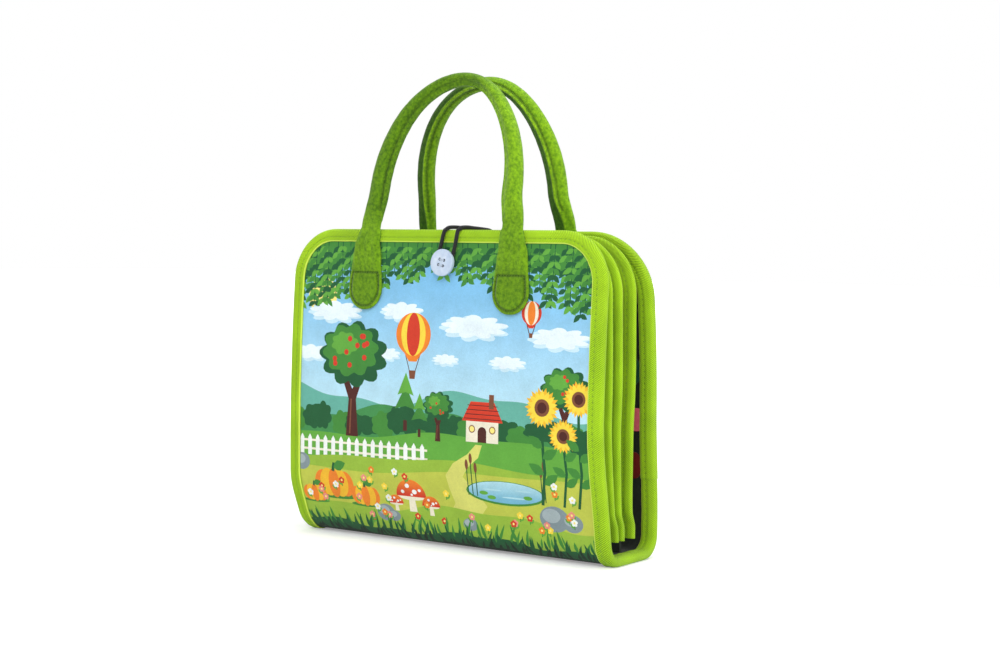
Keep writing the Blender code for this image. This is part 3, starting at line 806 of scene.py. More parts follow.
@dataclass(frozen=True)
class FeltFinish(Finish):
    """Pressed felt in one colour with darker clumps of fibre.

    Args:
        mottle: how strongly the clumps show.
        fibre_scale: fineness of the fibres.
        relief: depth of the bump.
        attribute: name of a colour attribute to read in place of the colour.
        seams: whether the piece carries seam_distance for its grooves, which get painted shade, and
            a mark of painted shade and highlight.
    """

    mottle: float = 0.5
    fibre_scale: float = 1400.0
    relief: float = 0.00025
    attribute: str = ""
    seams: bool = False

    def settings(self) -> dict[str, float]:
        """Plain shader values by name."""
        return {"Roughness": 0.92, "Sheen Weight": 0.12}

    def surface(self, maker: NodeTree) -> Surface:
        """Felt, rubbed in places, with painted shade in its seams' grooves and painted shade and
        highlights from the mesh.

        Args:
            maker: the material's node maker.

        Returns:
            The pattern.
        """
        colour: Value = self.colour
        clump: Value = self.second
        if self.attribute:
            colour = maker.node("VertexColor", layer_name=self.attribute).outputs["Color"]
            clump = maker.mix(1.0, colour, self.second, "MULTIPLY")
        felt = place_group(maker, EFFECTS.felt, {"Color": colour, "Clump Color": clump,
                                                 "Mottle": self.mottle,
                                                 "Fibre Scale": self.fibre_scale})
        tone, height = rub(maker, felt["Color"], 0.25, 70.0, 0.5, 0.95), felt["Height"]
        if self.seams:
            groove = maker.math("POWER", maker.ramp(maker.mark("seam_distance"), 0.0016, 0.0), 1.5)
            height = maker.times(groove, -2.6, height)
            painted_shade = maker.mark("painted_shade")
            # Painted light: shade where the mark is over 0, deeper painted shadow over 1, a painted
            # highlight under 0, and painted shade in the stitched grooves.
            for share, shading_colour in ((painted_shade, (0.52, 0.58, 0.28)),
                               (maker.math("SUBTRACT", painted_shade, 1.0), (0.34, 0.48, 0.60)),
                               (maker.times(painted_shade, -1.0), (1.45, 1.30, 1.8)),
                               (maker.times(groove, 0.85), (0.22, 0.26, 0.18))):
                tone = maker.paint_shading(share, tone, shading_colour)
        return Surface(tone, height, self.relief)


@dataclass(frozen=True)
class TapeFinish(Finish):
    """Folded twill tape with slanting ribs, dark in their grooves.

    Args:
        rim: colour of the painted highlight along its inner edge.
        ribs: ribs on a metre of tape.
        pitch: from one stitch to the next.
    """

    rim: Colour = (0.74, 0.92, 0.12)
    ribs: float = 640.0
    pitch: float = 0.0046

    def settings(self) -> dict[str, float]:
        """Plain shader values by name."""
        return {"Roughness": 0.78, "Sheen Weight": 0.08}

    def surface(self, maker: NodeTree) -> Surface:
        """Twill with a painted highlight along its inner edge and a row of dark needle holes.

        Args:
            maker: the material's node maker.

        Returns:
            The pattern.
        """
        twill = place_group(maker, EFFECTS.twill, {
            "Color": self.colour, "Rib Color": self.second, "Ribs": self.ribs})
        tone = rub(maker, twill["Color"], 0.05, 90.0, 0.6, 0.9)
        distance = maker.mark("rim_distance")
        turns = maker.times(maker.map()[1], 2 * math.pi / self.pitch)
        off_seam = maker.math("ABSOLUTE", maker.math("SUBTRACT", distance, SEAM_INSET))
        needle = maker.times(maker.times(maker.ramp(maker.math("COSINE", turns), 0.70, 0.98),
                                         maker.ramp(off_seam, 0.0007, 0.0002)), 0.8)
        # Painted highlight: lighter towards the tape's inner edge.
        tone = maker.mix(maker.times(maker.ramp(distance, 0.0012, 0.0006), 0.85), tone, self.rim)
        return Surface(maker.mix(needle, tone, self.second),
                       maker.times(needle, -1.5, twill["Height"]), 0.00024)


@dataclass(frozen=True)
class ThreadFinish(Finish):
    """Twisted sewing thread or braided cord, dark between its strands.

    Args:
        along: strands on a metre of length.
        around: strands on a metre of girth.
        roughness: its roughness.
    """

    along: float = 1500.0
    around: float = 900.0
    roughness: float = 0.7

    def settings(self) -> dict[str, float]:
        """Plain shader values by name."""
        return {"Roughness": self.roughness, "Sheen Weight": 0.1}

    def surface(self, maker: NodeTree) -> Surface:
        """Strands with some lint.

        Args:
            maker: the material's node maker.

        Returns:
            The pattern.
        """
        strands = place_group(maker, EFFECTS.strands, {"Along": self.along,
                                                       "Around": self.around})["Mask"]
        lint = maker.noise(maker.place(), 2500.0, 2.0)
        tone = maker.mix(strands, self.second, self.colour)
        return Surface(maker.mix(maker.times(lint, 0.35), tone, self.second),
                       maker.times(lint, 0.3, strands), 0.0001)


@dataclass(frozen=True)
class ShellFinish(Finish):
    """Glossy moulded plastic with a faint cloud and fine scratches."""

    def settings(self) -> dict[str, float]:
        """Plain shader values by name."""
        return {"Specular IOR Level": 0.5, "Coat Weight": 0.2, "Coat Roughness": 0.08}

    def surface(self, maker: NodeTree) -> Surface:
        """Cloud, rubbed places and scratches.

        Args:
            maker: the material's node maker.

        Returns:
            The pattern.
        """
        place = maker.place()
        cloud = maker.noise(place, 160.0, 4.0, 0.55, 0.35, 0.7)
        rubbed = place_group(maker, EFFECTS.wear, {"Amount": 0.5, "Patch Scale": 300.0})["Mask"]
        tone = maker.mix(rubbed, maker.mix(cloud, self.colour, self.second), (0.92, 0.95, 0.98))
        scratches = maker.times(maker.noise(place, 900.0), 0.16, 0.14)
        return Surface(tone, maker.noise(place, 320.0, 2.0), 0.00004, scratches)


def all_finishes() -> Finishes:
    """Every finish of the book, as a material by its name.

    Returns:
        The materials.
    """
    lime = ((0.42, 0.70, 0.010), (0.085, 0.20, 0.001))
    return {finish.name: finish.material() for finish in (
        FeltFinish("printed_felt", (1, 1, 1), (0.86, 0.88, 0.86), 0.5, 1500.0, 0.00016, "print"),
        FeltFinish("black_felt", (0.020, 0.026, 0.020), (0.008, 0.010, 0.009), 0.6),
        FeltFinish("handle_felt", (0.235, 0.455, 0.006), (0.075, 0.200, 0.002), 0.92, 1100.0,
                   0.0003, "", True),
        FeltFinish("pink_felt", (0.98, 0.16, 0.23), (0.82, 0.10, 0.15)),
        FeltFinish("red_felt", (0.20, 0.006, 0.004), (0.10, 0.002, 0.002)),
        FeltFinish("teal_felt", (0.006, 0.07, 0.035), (0.003, 0.035, 0.02)),
        TapeFinish("binding_tape", *lime),
        TapeFinish("page_tape", *lime, ribs=720.0),
        ThreadFinish("seam_thread", (0.36, 0.62, 0.03), (0.12, 0.24, 0.01)),
        ThreadFinish("handle_thread", (0.16, 0.33, 0.012), (0.05, 0.12, 0.005)),
        ThreadFinish("button_thread_wound", (0.62, 0.70, 0.80), (0.25, 0.32, 0.42)),
        ThreadFinish("round_elastic", (0.022, 0.022, 0.024), (0.004, 0.004, 0.005), 420.0, 425.0,
                     0.75),
        ShellFinish("button_plastic", (0.39, 0.49, 0.65), (0.50, 0.60, 0.74)),
        # Dark finish of painted shade for the walls of the button's holes.
        ShellFinish("painted_hole_shade", (0.030, 0.036, 0.042), (0.050, 0.058, 0.066)),
        Finish("board", (0.50, 0.49, 0.45), (0.35, 0.343, 0.315)))}


@dataclass
class FoldedTape:
    """Binding tape of C section, folded over the edge of a panel and sewn down.

    Args:
        panel: the panel it binds.
        place: carries panel places into the book's frame.
        stack: thickness of the panel.
        width: how far it reaches in on each face.
        thickness: its own thickness.
        gap: room between it and the panel.
        pucker: height of its small gathers.
        crown: how far it swells between its fold and its seam.
        seed: number that sets the gathers.
        seam_inset: how far the stitches lie from its inner edge.
        overlap: length up to which its end lies over its start, or 0.
        overlap_lift: how far it rises there, as a share of its thickness.
        side_share: share by which it reaches further in at the sides.
        corner_gather: share by which it gathers more at the corners.
        nose: how far in its fold starts to round.
        thread: width and height of a stitch.
        lowest_stitch: height under which no stitch is sewn.
    """

    panel: RoundTopPanel
    place: Place
    stack: float
    width: float
    thickness: float = 0.0008
    gap: float = CLEAR
    pucker: float = 0.00022
    crown: float = 0.00035
    seed: int = 1
    stitch: float = 0.0036
    pitch: float = 0.0046
    seam_inset: float = SEAM_INSET
    step: float = 0.003
    overlap: float = 0.0
    overlap_lift: float = 0.9
    side_share: float = 0.0
    corner_gather: float = 1.4
    nose: float = 0.0033
    thread: tuple[float, float] = (0.00055, 0.00028)
    lowest_stitch: float = 0.0008

    def reach(self, spot: RimPoint, s: float) -> float:
        """Distance out from the panel's edge, for the tape reaches further in at the sides."""
        return s * (1 + self.side_share * spot.out_x ** 2) if s < 0 else s

    def profile(self, inward: float) -> Outline:
        """One wall of the section, from the front seam round the fold to the back seam.

        Args:
            inward: how far the wall lies inside the tape's outer face.

        Returns:
            Places as distance out from the panel's edge and off its face.
        """
        reach = self.gap + self.thickness
        half = self.stack / 2 + reach - inward
        centre, inner = reach - self.nose, -self.width
        front: Outline = []
        for share in (0.0, 0.05, 0.14, 0.25, 0.36, 0.43, 0.50, 0.58, 0.68, 0.79, 0.90):
            s = inner + (centre - inner) * share
            front.append((s, half + (self.swell(s) if inward == 0 else 0.0)))
        if inward == 0:
            front[0] = (inner + 0.0001, half - self.thickness * 0.45)
            front[1] = (inner + 0.0005, half - self.thickness * 0.05)
        for step in range(9):
            angle = math.pi / 2 * (1 - step / 8)
            front.append((centre + (self.nose - inward) * math.cos(angle), half * math.sin(angle)))
        right = [(s, off - self.stack / 2) for s, off in front]
        return right + [(s, -off - self.stack / 2) for s, off in front[-2::-1]]

    def swell(self, s: float) -> float:
        """How far the tape swells beside its seam, which presses it down.

        Args:
            s: distance out from the panel's edge.

        Returns:
            The swell.
        """
        seam = self.seam_inset - self.width
        reach = -0.0018 - seam if s > seam else self.seam_inset
        share = min(abs(s - seam) / reach, 1.0)
        return self.crown * (math.sin(math.pi * share) ** 0.8 - 0.35 * max(0.0, 1 - share * 4))

    def gather(self, along: float, s: float) -> float:
        """Height of the small gathers at a place on the tape.

        Args:
            along: length along the tape.
            s: distance out from the panel's edge.

        Returns:
            The height.
        """
        share = min(max(-s / self.width, 0.0), 1.0)
        wave = (math.sin(along * 640 + self.seed) + 0.7 * math.sin(along * 1130 + 2.3 * self.seed)
                + 0.6 * math.sin(along * 271 + 0.7 * self.seed))
        return self.pucker * wave / 2.3 * share

    def draft(self) -> MeshDraft:
        """Mesh of the tape with its stitches.

        Returns:
            The draft.
        """
        outer = self.profile(0.0)
        section = outer + self.profile(self.thickness)[::-1]
        rings, rim = [], []
        path = self.panel.rim(self.step)
        if self.overlap:
            path += [self._spot(path, self.overlap + shift) for shift in (-0.0004, 0.0, 0.0004)]
            path.sort(key=lambda spot: spot.along)
        for spot in path:
            tight = 1.0 + self.corner_gather * abs(spot.out_x * spot.out_v)
            ring = []
            for index, (s, off) in enumerate(section):
                lift, on_face = 0.0, index < len(outer)
                if on_face:
                    sign = 1.0 if off > -self.stack / 2 else -1.0
                    lift = self.gather(spot.along, s) * tight * sign
                    if self.overlap and spot.along < self.overlap:
                        lift += self.thickness * self.overlap_lift * sign
                ring.append(self._at(spot, s, off + lift))
                rim.append(max(s + self.width, 0.0) if on_face else UNSEWN)
            rings.append(ring)
        made = MeshDraft()
        made.add_rings(rings, lengths_along([*section, section[0]]), [spot.along for spot in path])
        self.sew(made, path)
        made.marks["rim_distance"] = rim
        return made

    def sew(self, made: MeshDraft, path: list[RimPoint]) -> None:
        """Add the row of stitches along each inner edge.

        Args:
            made: the draft of the tape.
            path: the panel's rim.
        """
        total = path[-1].along
        seam = self.seam_inset - self.width
        across = self.gap + self.thickness
        count = int(total / self.pitch)
        for face in (1, -1):
            for index in range(count):
                middle = (index + 0.5) * total / count
                lift = self.gather(middle, seam) - self.crown * 0.2
                off = across + lift if face > 0 else -self.stack - across - lift
                spots = [self._spot(path, middle + sign * self.stitch / 2) for sign in (-1, 1)]
                start, end = (self._at(spot, seam, off) for spot in spots)
                normal = (self._at(spots[0], seam, off + 0.001 * face) - start).normalized()
                if start.z > self.lowest_stitch:
                    made.add_stitch(start, end, normal, *self.thread)

    def _at(self, spot: RimPoint, s: float, off: float) -> Vector:
        """A point of the tape.

        Args:
            spot: place on the panel's edge.
            s: distance out from it.
            off: how far it stands off the panel's face.

        Returns:
            The point.
        """
        out = self.reach(spot, s)
        return self.place(spot.x + spot.out_x * out, spot.v + spot.out_v * out, off)

    def _spot(self, path: list[RimPoint], along: float) -> RimPoint:
        """The rim at a length along it.

        Args:
            path: the rim.
            along: the length.

        Returns:
            The place on the rim.
        """
        along = min(max(along, path[0].along), path[-1].along)
        index, share = share_at([spot.along for spot in path], along)
        return RimPoint(*(a + (b - a) * share for a, b in zip(path[index], path[index + 1])))


@dataclass
class FeltPlate:
    """Felt or board cut to an outline, laid on a surface.

    Args:
        outline: closed outline.
        place: carries panel places into the book's frame.
        near: off of its outer face.
        far: off of its inner face.
        levels: heights at which it can bend.
        columns: places across at which it can ripple.
        picture: what is printed on it.
    """

    outline: Outline
    place: Place
    near: float
    far: float
    levels: Sequence[float] = ()
    columns: Sequence[float] = ()
    picture: "MeadowPrint | None" = None

    def build(self, name: str, materials: Sequence[bpy.types.Material]) -> bpy.types.Object:
        """Make the plate.

        Args:
            name: its name.
            materials: its finishes.

        Returns:
            The object.
        """
        work = bmesh.new()
        self._cut(work)
        rim = {vert for edge in work.edges if len(edge.link_faces) == 1 for vert in edge.verts}
        twin = bmesh.ops.extrude_face_region(work, geom=work.faces[:], use_keep_orig=True)
        back = {item for item in twin["geom"] if isinstance(item, bmesh.types.BMVert)}
        for face in work.faces:
            if all(vert in back for vert in face.verts):
                face.normal_flip()
        for vert in work.verts:
            vert.co = self.place(vert.co.x, vert.co.y, self.far if vert in back else self.near)
        walls = [edge for edge in work.edges
                 if len(back.intersection(edge.verts)) == 1 and rim.intersection(edge.verts)]
        bmesh.ops.subdivide_edges(work, edges=walls, cuts=1)
        return make_object(bpy.data.meshes.new(name), work, materials, 50.0)

    def _cut(self, work: bmesh.types.BMesh) -> None:
        """Add the flat faces that the outline, the printed shapes, levels and columns cut.

        Args:
            work: the empty mesh to fill, in metres on the panel.
        """
        shapes = self.picture.shapes if self.picture else []
        past = 5.0  # how far a cut runs past the outline, in millimetres
        points: list[Vector] = []
        faces: list[list[int]] = []
        for outline in [self.outline, *[shape.outline for shape in shapes]]:
            start = len(points)
            points += [Vector((x * MM, v * MM)) for x, v in turned_left(outline)]
            faces.append(list(range(start, len(points))))
        wide = max(abs(x) for x, _ in self.outline) * MM + past
        low = min(v for _, v in self.outline) * MM - past
        high = max(v for _, v in self.outline) * MM + past
        cuts = [((-wide, level * MM), (wide, level * MM)) for level in self.levels]
        cuts += [((column * MM, low), (column * MM, high)) for column in self.columns]
        edges = [(len(points) + 2 * index, len(points) + 2 * index + 1)
                 for index in range(len(cuts))]
        points += [Vector(end) for cut in cuts for end in cut]
        flat, _, cells, _, _, owners = delaunay_2d_cdt(points, edges, faces, 1, 1e-4, True)
        kept = [(cell, max(owner)) for cell, owner in zip(cells, owners) if 0 in owner]
        used = sorted({index for cell, _ in kept for index in cell})
        corners = {index: work.verts.new((flat[index].x / MM, flat[index].y / MM, 0.0))
                   for index in used}
        colour = work.loops.layers.float_color.new("print") if self.picture else None
        for cell, owner in kept:
            try:
                face = work.faces.new([corners[index] for index in cell])
            except ValueError:
                continue
            if face.normal.z < 0:
                face.normal_flip()
            if colour:
                shape = shapes[owner - 1] if owner else self.picture.ground
                for loop in face.loops:
                    loop[colour] = (*shape.colour_at(loop.vert.co.y), 1.0)
@dataclass(frozen=True)
class PrintShape:
    """One printed shape: an outline with a colour that may fade upwards.

    Args:
        outline: closed outline on the cover.
        low_colour: colour at its foot.
        high_colour: colour at its top.
        low: height of its foot.
        high: height of its top.
    """

    outline: Outline
    low_colour: Colour
    high_colour: Colour
    low: float
    high: float

    def colour_at(self, v: float) -> Colour:
        """Colour at a height."""
        share = ease((v - self.low) / max(self.high - self.low, 1e-6))
        return tuple(a + (b - a) * share for a, b in zip(self.low_colour, self.high_colour))


class Tint(Enum):
    """Colours of the printed meadow, as linear red, green and blue."""

    SKY_HIGH = (0.20, 0.50, 0.78)
    SKY_LOW = (0.50, 0.75, 0.86)
    CLOUD = (0.78, 0.89, 0.95)
    CLOUD_SHADE = (0.58, 0.78, 0.89)
    SUN = (0.92, 0.78, 0.22)
    FAR_HILL = (0.13, 0.42, 0.34)
    MIDDLE_HILL = (0.055, 0.26, 0.075)
    NEAR_HILL = (0.17, 0.42, 0.045)
    MEADOW = (0.50, 0.55, 0.075)
    MEADOW_LIGHT = (0.66, 0.66, 0.16)
    MEADOW_GREEN = (0.30, 0.48, 0.05)
    LEAF = (0.055, 0.24, 0.040)
    LEAF_LIGHT = (0.12, 0.38, 0.05)
    LEAF_DARK = (0.014, 0.10, 0.034)
    DEEP = (0.010, 0.034, 0.016)
    BARK = (0.075, 0.018, 0.014)
    BARK_LIGHT = (0.20, 0.07, 0.035)
    ORANGE = (0.82, 0.22, 0.025)
    AMBER = (0.86, 0.48, 0.03)
    YELLOW = (0.90, 0.66, 0.06)
    RED = (0.62, 0.045, 0.02)
    ROSE = (0.80, 0.26, 0.22)
    CREAM = (0.84, 0.78, 0.62)
    WHITE = (0.86, 0.88, 0.86)
    STONE = (0.22, 0.28, 0.31)
    STONE_LIGHT = (0.36, 0.43, 0.46)
    WATER = (0.16, 0.44, 0.62)
    WATER_LIGHT = (0.42, 0.68, 0.78)


def oval(x: float, v: float, half: float, rise: float, steps: int = 22,
         start_deg: float = 0.0, end_deg: float = 360.0) -> Outline:
    """An oval, or a piece of one cut straight across.

    Args:
        x: place of its middle across.
        v: place of its middle up.
        half: half its width.
        rise: half its height.
        steps: how many stretches it is made of.
        start_deg: direction of its first point.
        end_deg: direction of its last point.

    Returns:
        The outline.
    """
    sweep = end_deg - start_deg
    turns = [math.radians(start_deg + sweep * step / steps)
             for step in range(steps if sweep >= 360 else steps + 1)]
    return [(x + half * math.cos(turn), v + rise * math.sin(turn)) for turn in turns]


def lobed(x: float, v: float, half: float, rise: float, lobes: int, depth: float,
          turn: float = 0.0) -> Outline:
    """An oval with round lobes all round, such as a cloud or the crown of a tree.

    Args:
        x: place of its middle across.
        v: place of its middle up.
        half: half its width.
        rise: half its height.
        lobes: how many lobes it has.
        depth: depth of the lobes as a share of the oval.
        turn: how far the lobes are turned.

    Returns:
        The outline.
    """
    steps = lobes * 5
    line = []
    for step in range(steps):
        angle = 2 * math.pi * step / steps
        swell = 1 + depth * (abs(math.sin(lobes * angle / 2 + turn)) - 0.6)
        line.append((x + half * swell * math.cos(angle), v + rise * swell * math.sin(angle)))
    return line


def leaf(x: float, v: float, length: float, half: float, angle_deg: float) -> Outline:
    """A pointed leaf that grows from a place in a direction.

    Args:
        x: place of its foot across.
        v: place of its foot up.
        length: its length.
        half: half its width.
        angle_deg: its direction.

    Returns:
        The outline.
    """
    c, s = math.cos(math.radians(angle_deg)), math.sin(math.radians(angle_deg))
    line = []
    for share, wide in ((0, 0), (0.2, 0.72), (0.45, 1), (0.75, 0.62), (1, 0), (0.75, -0.62),
                        (0.45, -1), (0.2, -0.72)):
        along, across = length * share, half * wide
        line.append((x + along * c - across * s, v + along * s + across * c))
    return line


def stroke(points: Outline, width: float) -> Outline:
    """A band of even width along a few points.

    Args:
        points: its middle line.
        width: its width.

    Returns:
        The outline.
    """
    left, right = [], []
    for index, (x, v) in enumerate(points):
        run = run_at(points, index)
        left.append((x - run.y * width / 2, v + run.x * width / 2))
        right.append((x + run.y * width / 2, v - run.x * width / 2))
    return left + right[::-1]


class MeadowPrint:
    """The printed picture of a cover: a garden meadow under leafy garlands.

    Places are in millimetres on the cover and become metres when a shape is added.
    """

    def __init__(self, seed: int, mirror: bool) -> None:
        """Draw the picture.

        Args:
            seed: number that sets the small differences.
            mirror: whether it runs from right to left.
        """
        self.rng = np.random.default_rng(seed)
        self.mirror = mirror
        self.shapes: list[PrintShape] = []
        self.ground = PrintShape([], Tint.SKY_LOW.value, Tint.SKY_HIGH.value, 0.085, 0.225)
        self.sky()
        self.hills()
        self.tree(-84, 84, 1.0)
        self.tree(118, 92, 0.62)
        self.pine(-30, 92, 1.0)
        self.pine(-16, 88, 0.75)
        self.cottage(44, 88)
        self.tree(2, 86, 0.42)
        self.fence(-140, -8, 66)
        self.meadow()
        self.pond(62, 50)
        for x, v, size in ((98, 118, 1.0), (117, 98, 0.85), (130, 126, 0.9)):
            self.sunflower(x, v, size)
        for x, v, size in ((-104, 44, 1.0), (-74, 36, 0.72), (-126, 34, 0.6)):
            self.pumpkin(x, v, size)
        for x, v, size in ((-28, 38, 1.0), (-10, 32, 0.6), (-44, 32, 0.5)):
            self.toadstool(x, v, size)
        self.stones()
        self.flowers()
        self.grass()
        self.garland()

    def add(self, outline: Outline, tint: Tint, top: Tint | None = None) -> None:
        """Add a shape on top of the others.

        Args:
            outline: its outline.
            tint: its colour, or the colour at its foot.
            top: its colour at the top, where it fades.
        """
        sign = -1 if self.mirror else 1
        points = [(sign * x / MM, v / MM) for x, v in outline]
        heights = [v for _, v in points]
        self.shapes.append(PrintShape(points, tint.value, (top or tint).value, min(heights),
                                      max(heights)))

    def cut(self, x: float, v: float, size: float, corners: Sequence[tuple[float, float]],
            tint: Tint) -> None:
        """Add a straight-edged shape that stands at a place.

        Args:
            x: the place across.
            v: the place up.
            size: how many millimetres a unit of the corners is.
            corners: its corners from that place.
            tint: its colour.
        """
        self.add([(x + dx * size, v + dv * size) for dx, dv in corners], tint)

    def spread(self, low: float, high: float) -> float:
        """A number between two others."""
        return float(self.rng.uniform(low, high))

    def sky(self) -> None:
        """Sun, clouds and two balloons."""
        self.add(oval(-118, 196, 15, 15), Tint.SUN)
        for x, v, half, rise in ((-104, 184, 26, 8), (-36, 186, 20, 7), (34, 176, 30, 9),
                                 (112, 170, 26, 8), (-128, 150, 20, 6), (66, 150, 16, 5),
                                 (-52, 152, 15, 5), (8, 150, 12, 4)):
            self.add(lobed(x, v - 1.6, half, rise, 9, 0.32), Tint.CLOUD_SHADE)
            self.add(lobed(x, v, half * 0.94, rise * 0.9, 9, 0.34, 0.6), Tint.CLOUD)
        self.balloon(-24, 168, 17, (Tint.ORANGE, Tint.YELLOW, Tint.RED))
        self.balloon(86, 188, 9, (Tint.RED, Tint.CREAM, Tint.ORANGE))

    def balloon(self, x: float, v: float, radius: float, tints: tuple[Tint, Tint, Tint]) -> None:
        """A striped balloon with its basket.

        Args:
            x: place of its middle across.
            v: place of its middle up.
            radius: its radius.
            tints: colours of its stripes, from the outside.
        """
        for sign in (-1, 1):
            self.add(stroke([(x + sign * radius * 0.45, v - radius * 0.85),
                             (x + sign * radius * 0.16, v - radius * 1.7)], 0.7), Tint.BARK)
        self.cut(x, v, radius, ((-0.62, -0.7), (0.62, -0.7), (0.22, -1.25), (-0.22, -1.25)),
                 tints[0])
        for share, tint in zip((1.0, 0.70, 0.38), tints):
            self.add(oval(x, v, radius * share, radius, 30), tint)
        self.cut(x, v, radius, ((-0.2, -1.66), (0.2, -1.66), (0.15, -2.05), (-0.15, -2.05)),
                 Tint.BARK_LIGHT)
    def ridge(self, base: float, waves: Sequence[tuple[float, float, float]]) -> Outline:
        """A ridge line that runs right across, closed far below.

        Args:
            base: its height.
            waves: height, length and phase of each wave.

        Returns:
            The outline.
        """
        line = []
        for step in range(71):
            x = -148 + 296 * step / 70
            v = base + sum(size * math.sin(x / span + phase) for size, span, phase in waves)
            line.append((x, v))
        return line + [(148, -40), (-148, -40)]

    def hills(self) -> None:
        """Far, middle and near hills with small bushes."""
        self.add(self.ridge(118, ((7, 30, 0.4), (3, 13, 1.0))), Tint.FAR_HILL)
        self.add(self.ridge(104, ((6, 38, 2.4), (2.5, 12, 0.0))), Tint.MIDDLE_HILL)
        for step in range(20):
            x = -140 + 14.6 * step + self.spread(-4, 4)
            bush = lobed(x, 96 + self.spread(-3, 4), self.spread(9, 15), self.spread(7, 11), 7,
                         0.22, self.spread(0, 3))
            self.add(bush, Tint.LEAF_DARK if step % 3 else Tint.LEAF)
        self.add(self.ridge(88, ((4, 45, 0.9), (1.5, 17, 2.0))), Tint.NEAR_HILL, Tint.LEAF_LIGHT)

    def meadow(self) -> None:
        """The light ground with bands of grass and a winding path."""
        self.add(self.ridge(68, ((3, 52, 1.4), (1.2, 19, 0.3))), Tint.MEADOW_GREEN)
        self.add(self.ridge(60, ((4, 60, 0.2), (1.0, 21, 1.3))), Tint.MEADOW)
        self.add([(38, 86), (44, 86), (40, 76), (30, 68), (24, 60), (34, 50), (44, 38), (30, 22),
                  (6, 10), (-22, 10), (4, 24), (14, 38), (10, 50), (8, 60), (16, 70), (30, 78)],
                 Tint.MEADOW_LIGHT)
        self.add(self.ridge(30, ((4, 33, 0.8), (2, 14, 2.0))), Tint.MEADOW_GREEN)

    def tree(self, x: float, v: float, size: float) -> None:
        """A round tree with a forked trunk and fruit.

        Args:
            x: place of its foot across.
            v: place of its foot up.
            size: its size.
        """
        self.cut(x, v, size, ((-6, 0), (-3.6, 30), (-12, 50), (-8, 52), (0, 38), (9, 54),
                              (12, 51), (4, 30), (6.5, 0)), Tint.BARK)
        self.add(stroke([(x - 2 * size, v + 2), (x - 1 * size, v + 30 * size)], 1.4 * size),
                 Tint.BARK_LIGHT)
        for left, up, half, rise, lobes, depth, turn, tint in (
                (0, 66, 33, 25, 11, 0.2, 0.0, Tint.LEAF_DARK),
                (3, 69, 27, 20, 10, 0.22, 0.8, Tint.LEAF),
                (9, 74, 13, 9, 8, 0.25, 0.4, Tint.LEAF_LIGHT)):
            self.add(lobed(x - left * size, v + up * size, half * size, rise * size, lobes, depth,
                           turn), tint)
        for _ in range(int(9 * size) + 2):
            angle, reach = self.spread(0, 2 * math.pi), self.spread(0.2, 0.85)
            fruit_x = x + 26 * size * reach * math.cos(angle)
            fruit_v = v + (66 + 19 * reach * math.sin(angle)) * size
            self.add(oval(fruit_x, fruit_v, 2.3 * size, 2.3 * size, 12), Tint.RED)

    def pine(self, x: float, v: float, size: float) -> None:
        """A pine of three skirts.

        Args:
            x: place of its foot across.
            v: place of its foot up.
            size: its size.
        """
        self.cut(x, v, size, ((-1.8, 0), (1.8, 0), (1.8, 12), (-1.8, 12)), Tint.BARK)
        for low, half, high, tint in ((6, 13, 26, Tint.LEAF_DARK), (17, 10.5, 36, Tint.LEAF),
                                      (28, 8, 46, Tint.LEAF_LIGHT)):
            self.cut(x, v, size, ((-half, low), (0, low + 2.5), (half, low), (0, high)), tint)

    def cottage(self, x: float, v: float) -> None:
        """A small house with a red roof.

        Args:
            x: place of its foot across.
            v: place of its foot up.
        """
        self.cut(x, v, 1, ((-15, 0), (15, 0), (15, 18), (-15, 18)), Tint.CREAM)
        self.cut(x, v, 1, ((-19, 16), (19, 16), (11, 31), (-11, 31)), Tint.RED)
        for step in range(4):
            row = v + 18 + 3.4 * step
            self.add(stroke([(x - 17 + step, row), (x + 17 - step, row)], 0.6), Tint.BARK)
        self.cut(x, v, 1, ((6, 26), (10.5, 26), (10.5, 37), (6, 37)), Tint.BARK_LIGHT)
        self.add([(x + 4, v), *oval(x, v + 8, 4, 4, 12, 0, 180), (x - 4, v)], Tint.BARK)
        for sign in (-1, 1):
            for half, tint in ((3, Tint.BARK_LIGHT), (2.2, Tint.SUN)):
                self.add(oval(x + sign * 9.5, v + 10, half, half, 16), tint)
    def fence(self, left: float, right: float, v: float) -> None:
        """A garden fence of pointed boards.

        Args:
            left: where it starts.
            right: where it ends.
            v: height of its foot.
        """
        for rail in (4, 11):
            low = v + rail
            self.add([(left, low), (right, low), (right, low + 1.8), (left, low + 1.8)], Tint.CREAM)
        x = left + 2
        while x < right - 4:
            self.cut(x, v, 1, ((0, 0), (4, 0), (4, 14), (2, 17), (0, 14)), Tint.WHITE)
            x += 8.2

    def pond(self, x: float, v: float) -> None:
        """A pond with ripples, pads and reeds.

        Args:
            x: place of its middle across.
            v: place of its middle up.
        """
        self.add(oval(x, v, 36, 9.5, 30), Tint.LEAF)
        self.add(oval(x, v + 0.6, 34, 8.4, 30), Tint.WATER, Tint.WATER_LIGHT)
        for dx, dv, half in ((-12, 2, 9), (8, -3, 12), (16, 3, 7)):
            self.add(oval(x + dx, v + dv, half, 0.7, 14), Tint.WATER_LIGHT)
        for dx, dv in ((-20, -1), (-13, -4), (20, -2)):
            self.add(oval(x + dx, v + dv, 4, 1.6, 14), Tint.LEAF_LIGHT)
        for dx, high in ((-34, 20), (-30, 25), (-26, 18), (33, 19), (36, 24)):
            self.add(stroke([(x + dx, v - 4), (x + dx + 0.6, v + high)], 0.9), Tint.LEAF_DARK)
            self.add(oval(x + dx + 0.6, v + high, 1.5, 4.2, 12), Tint.BARK_LIGHT)

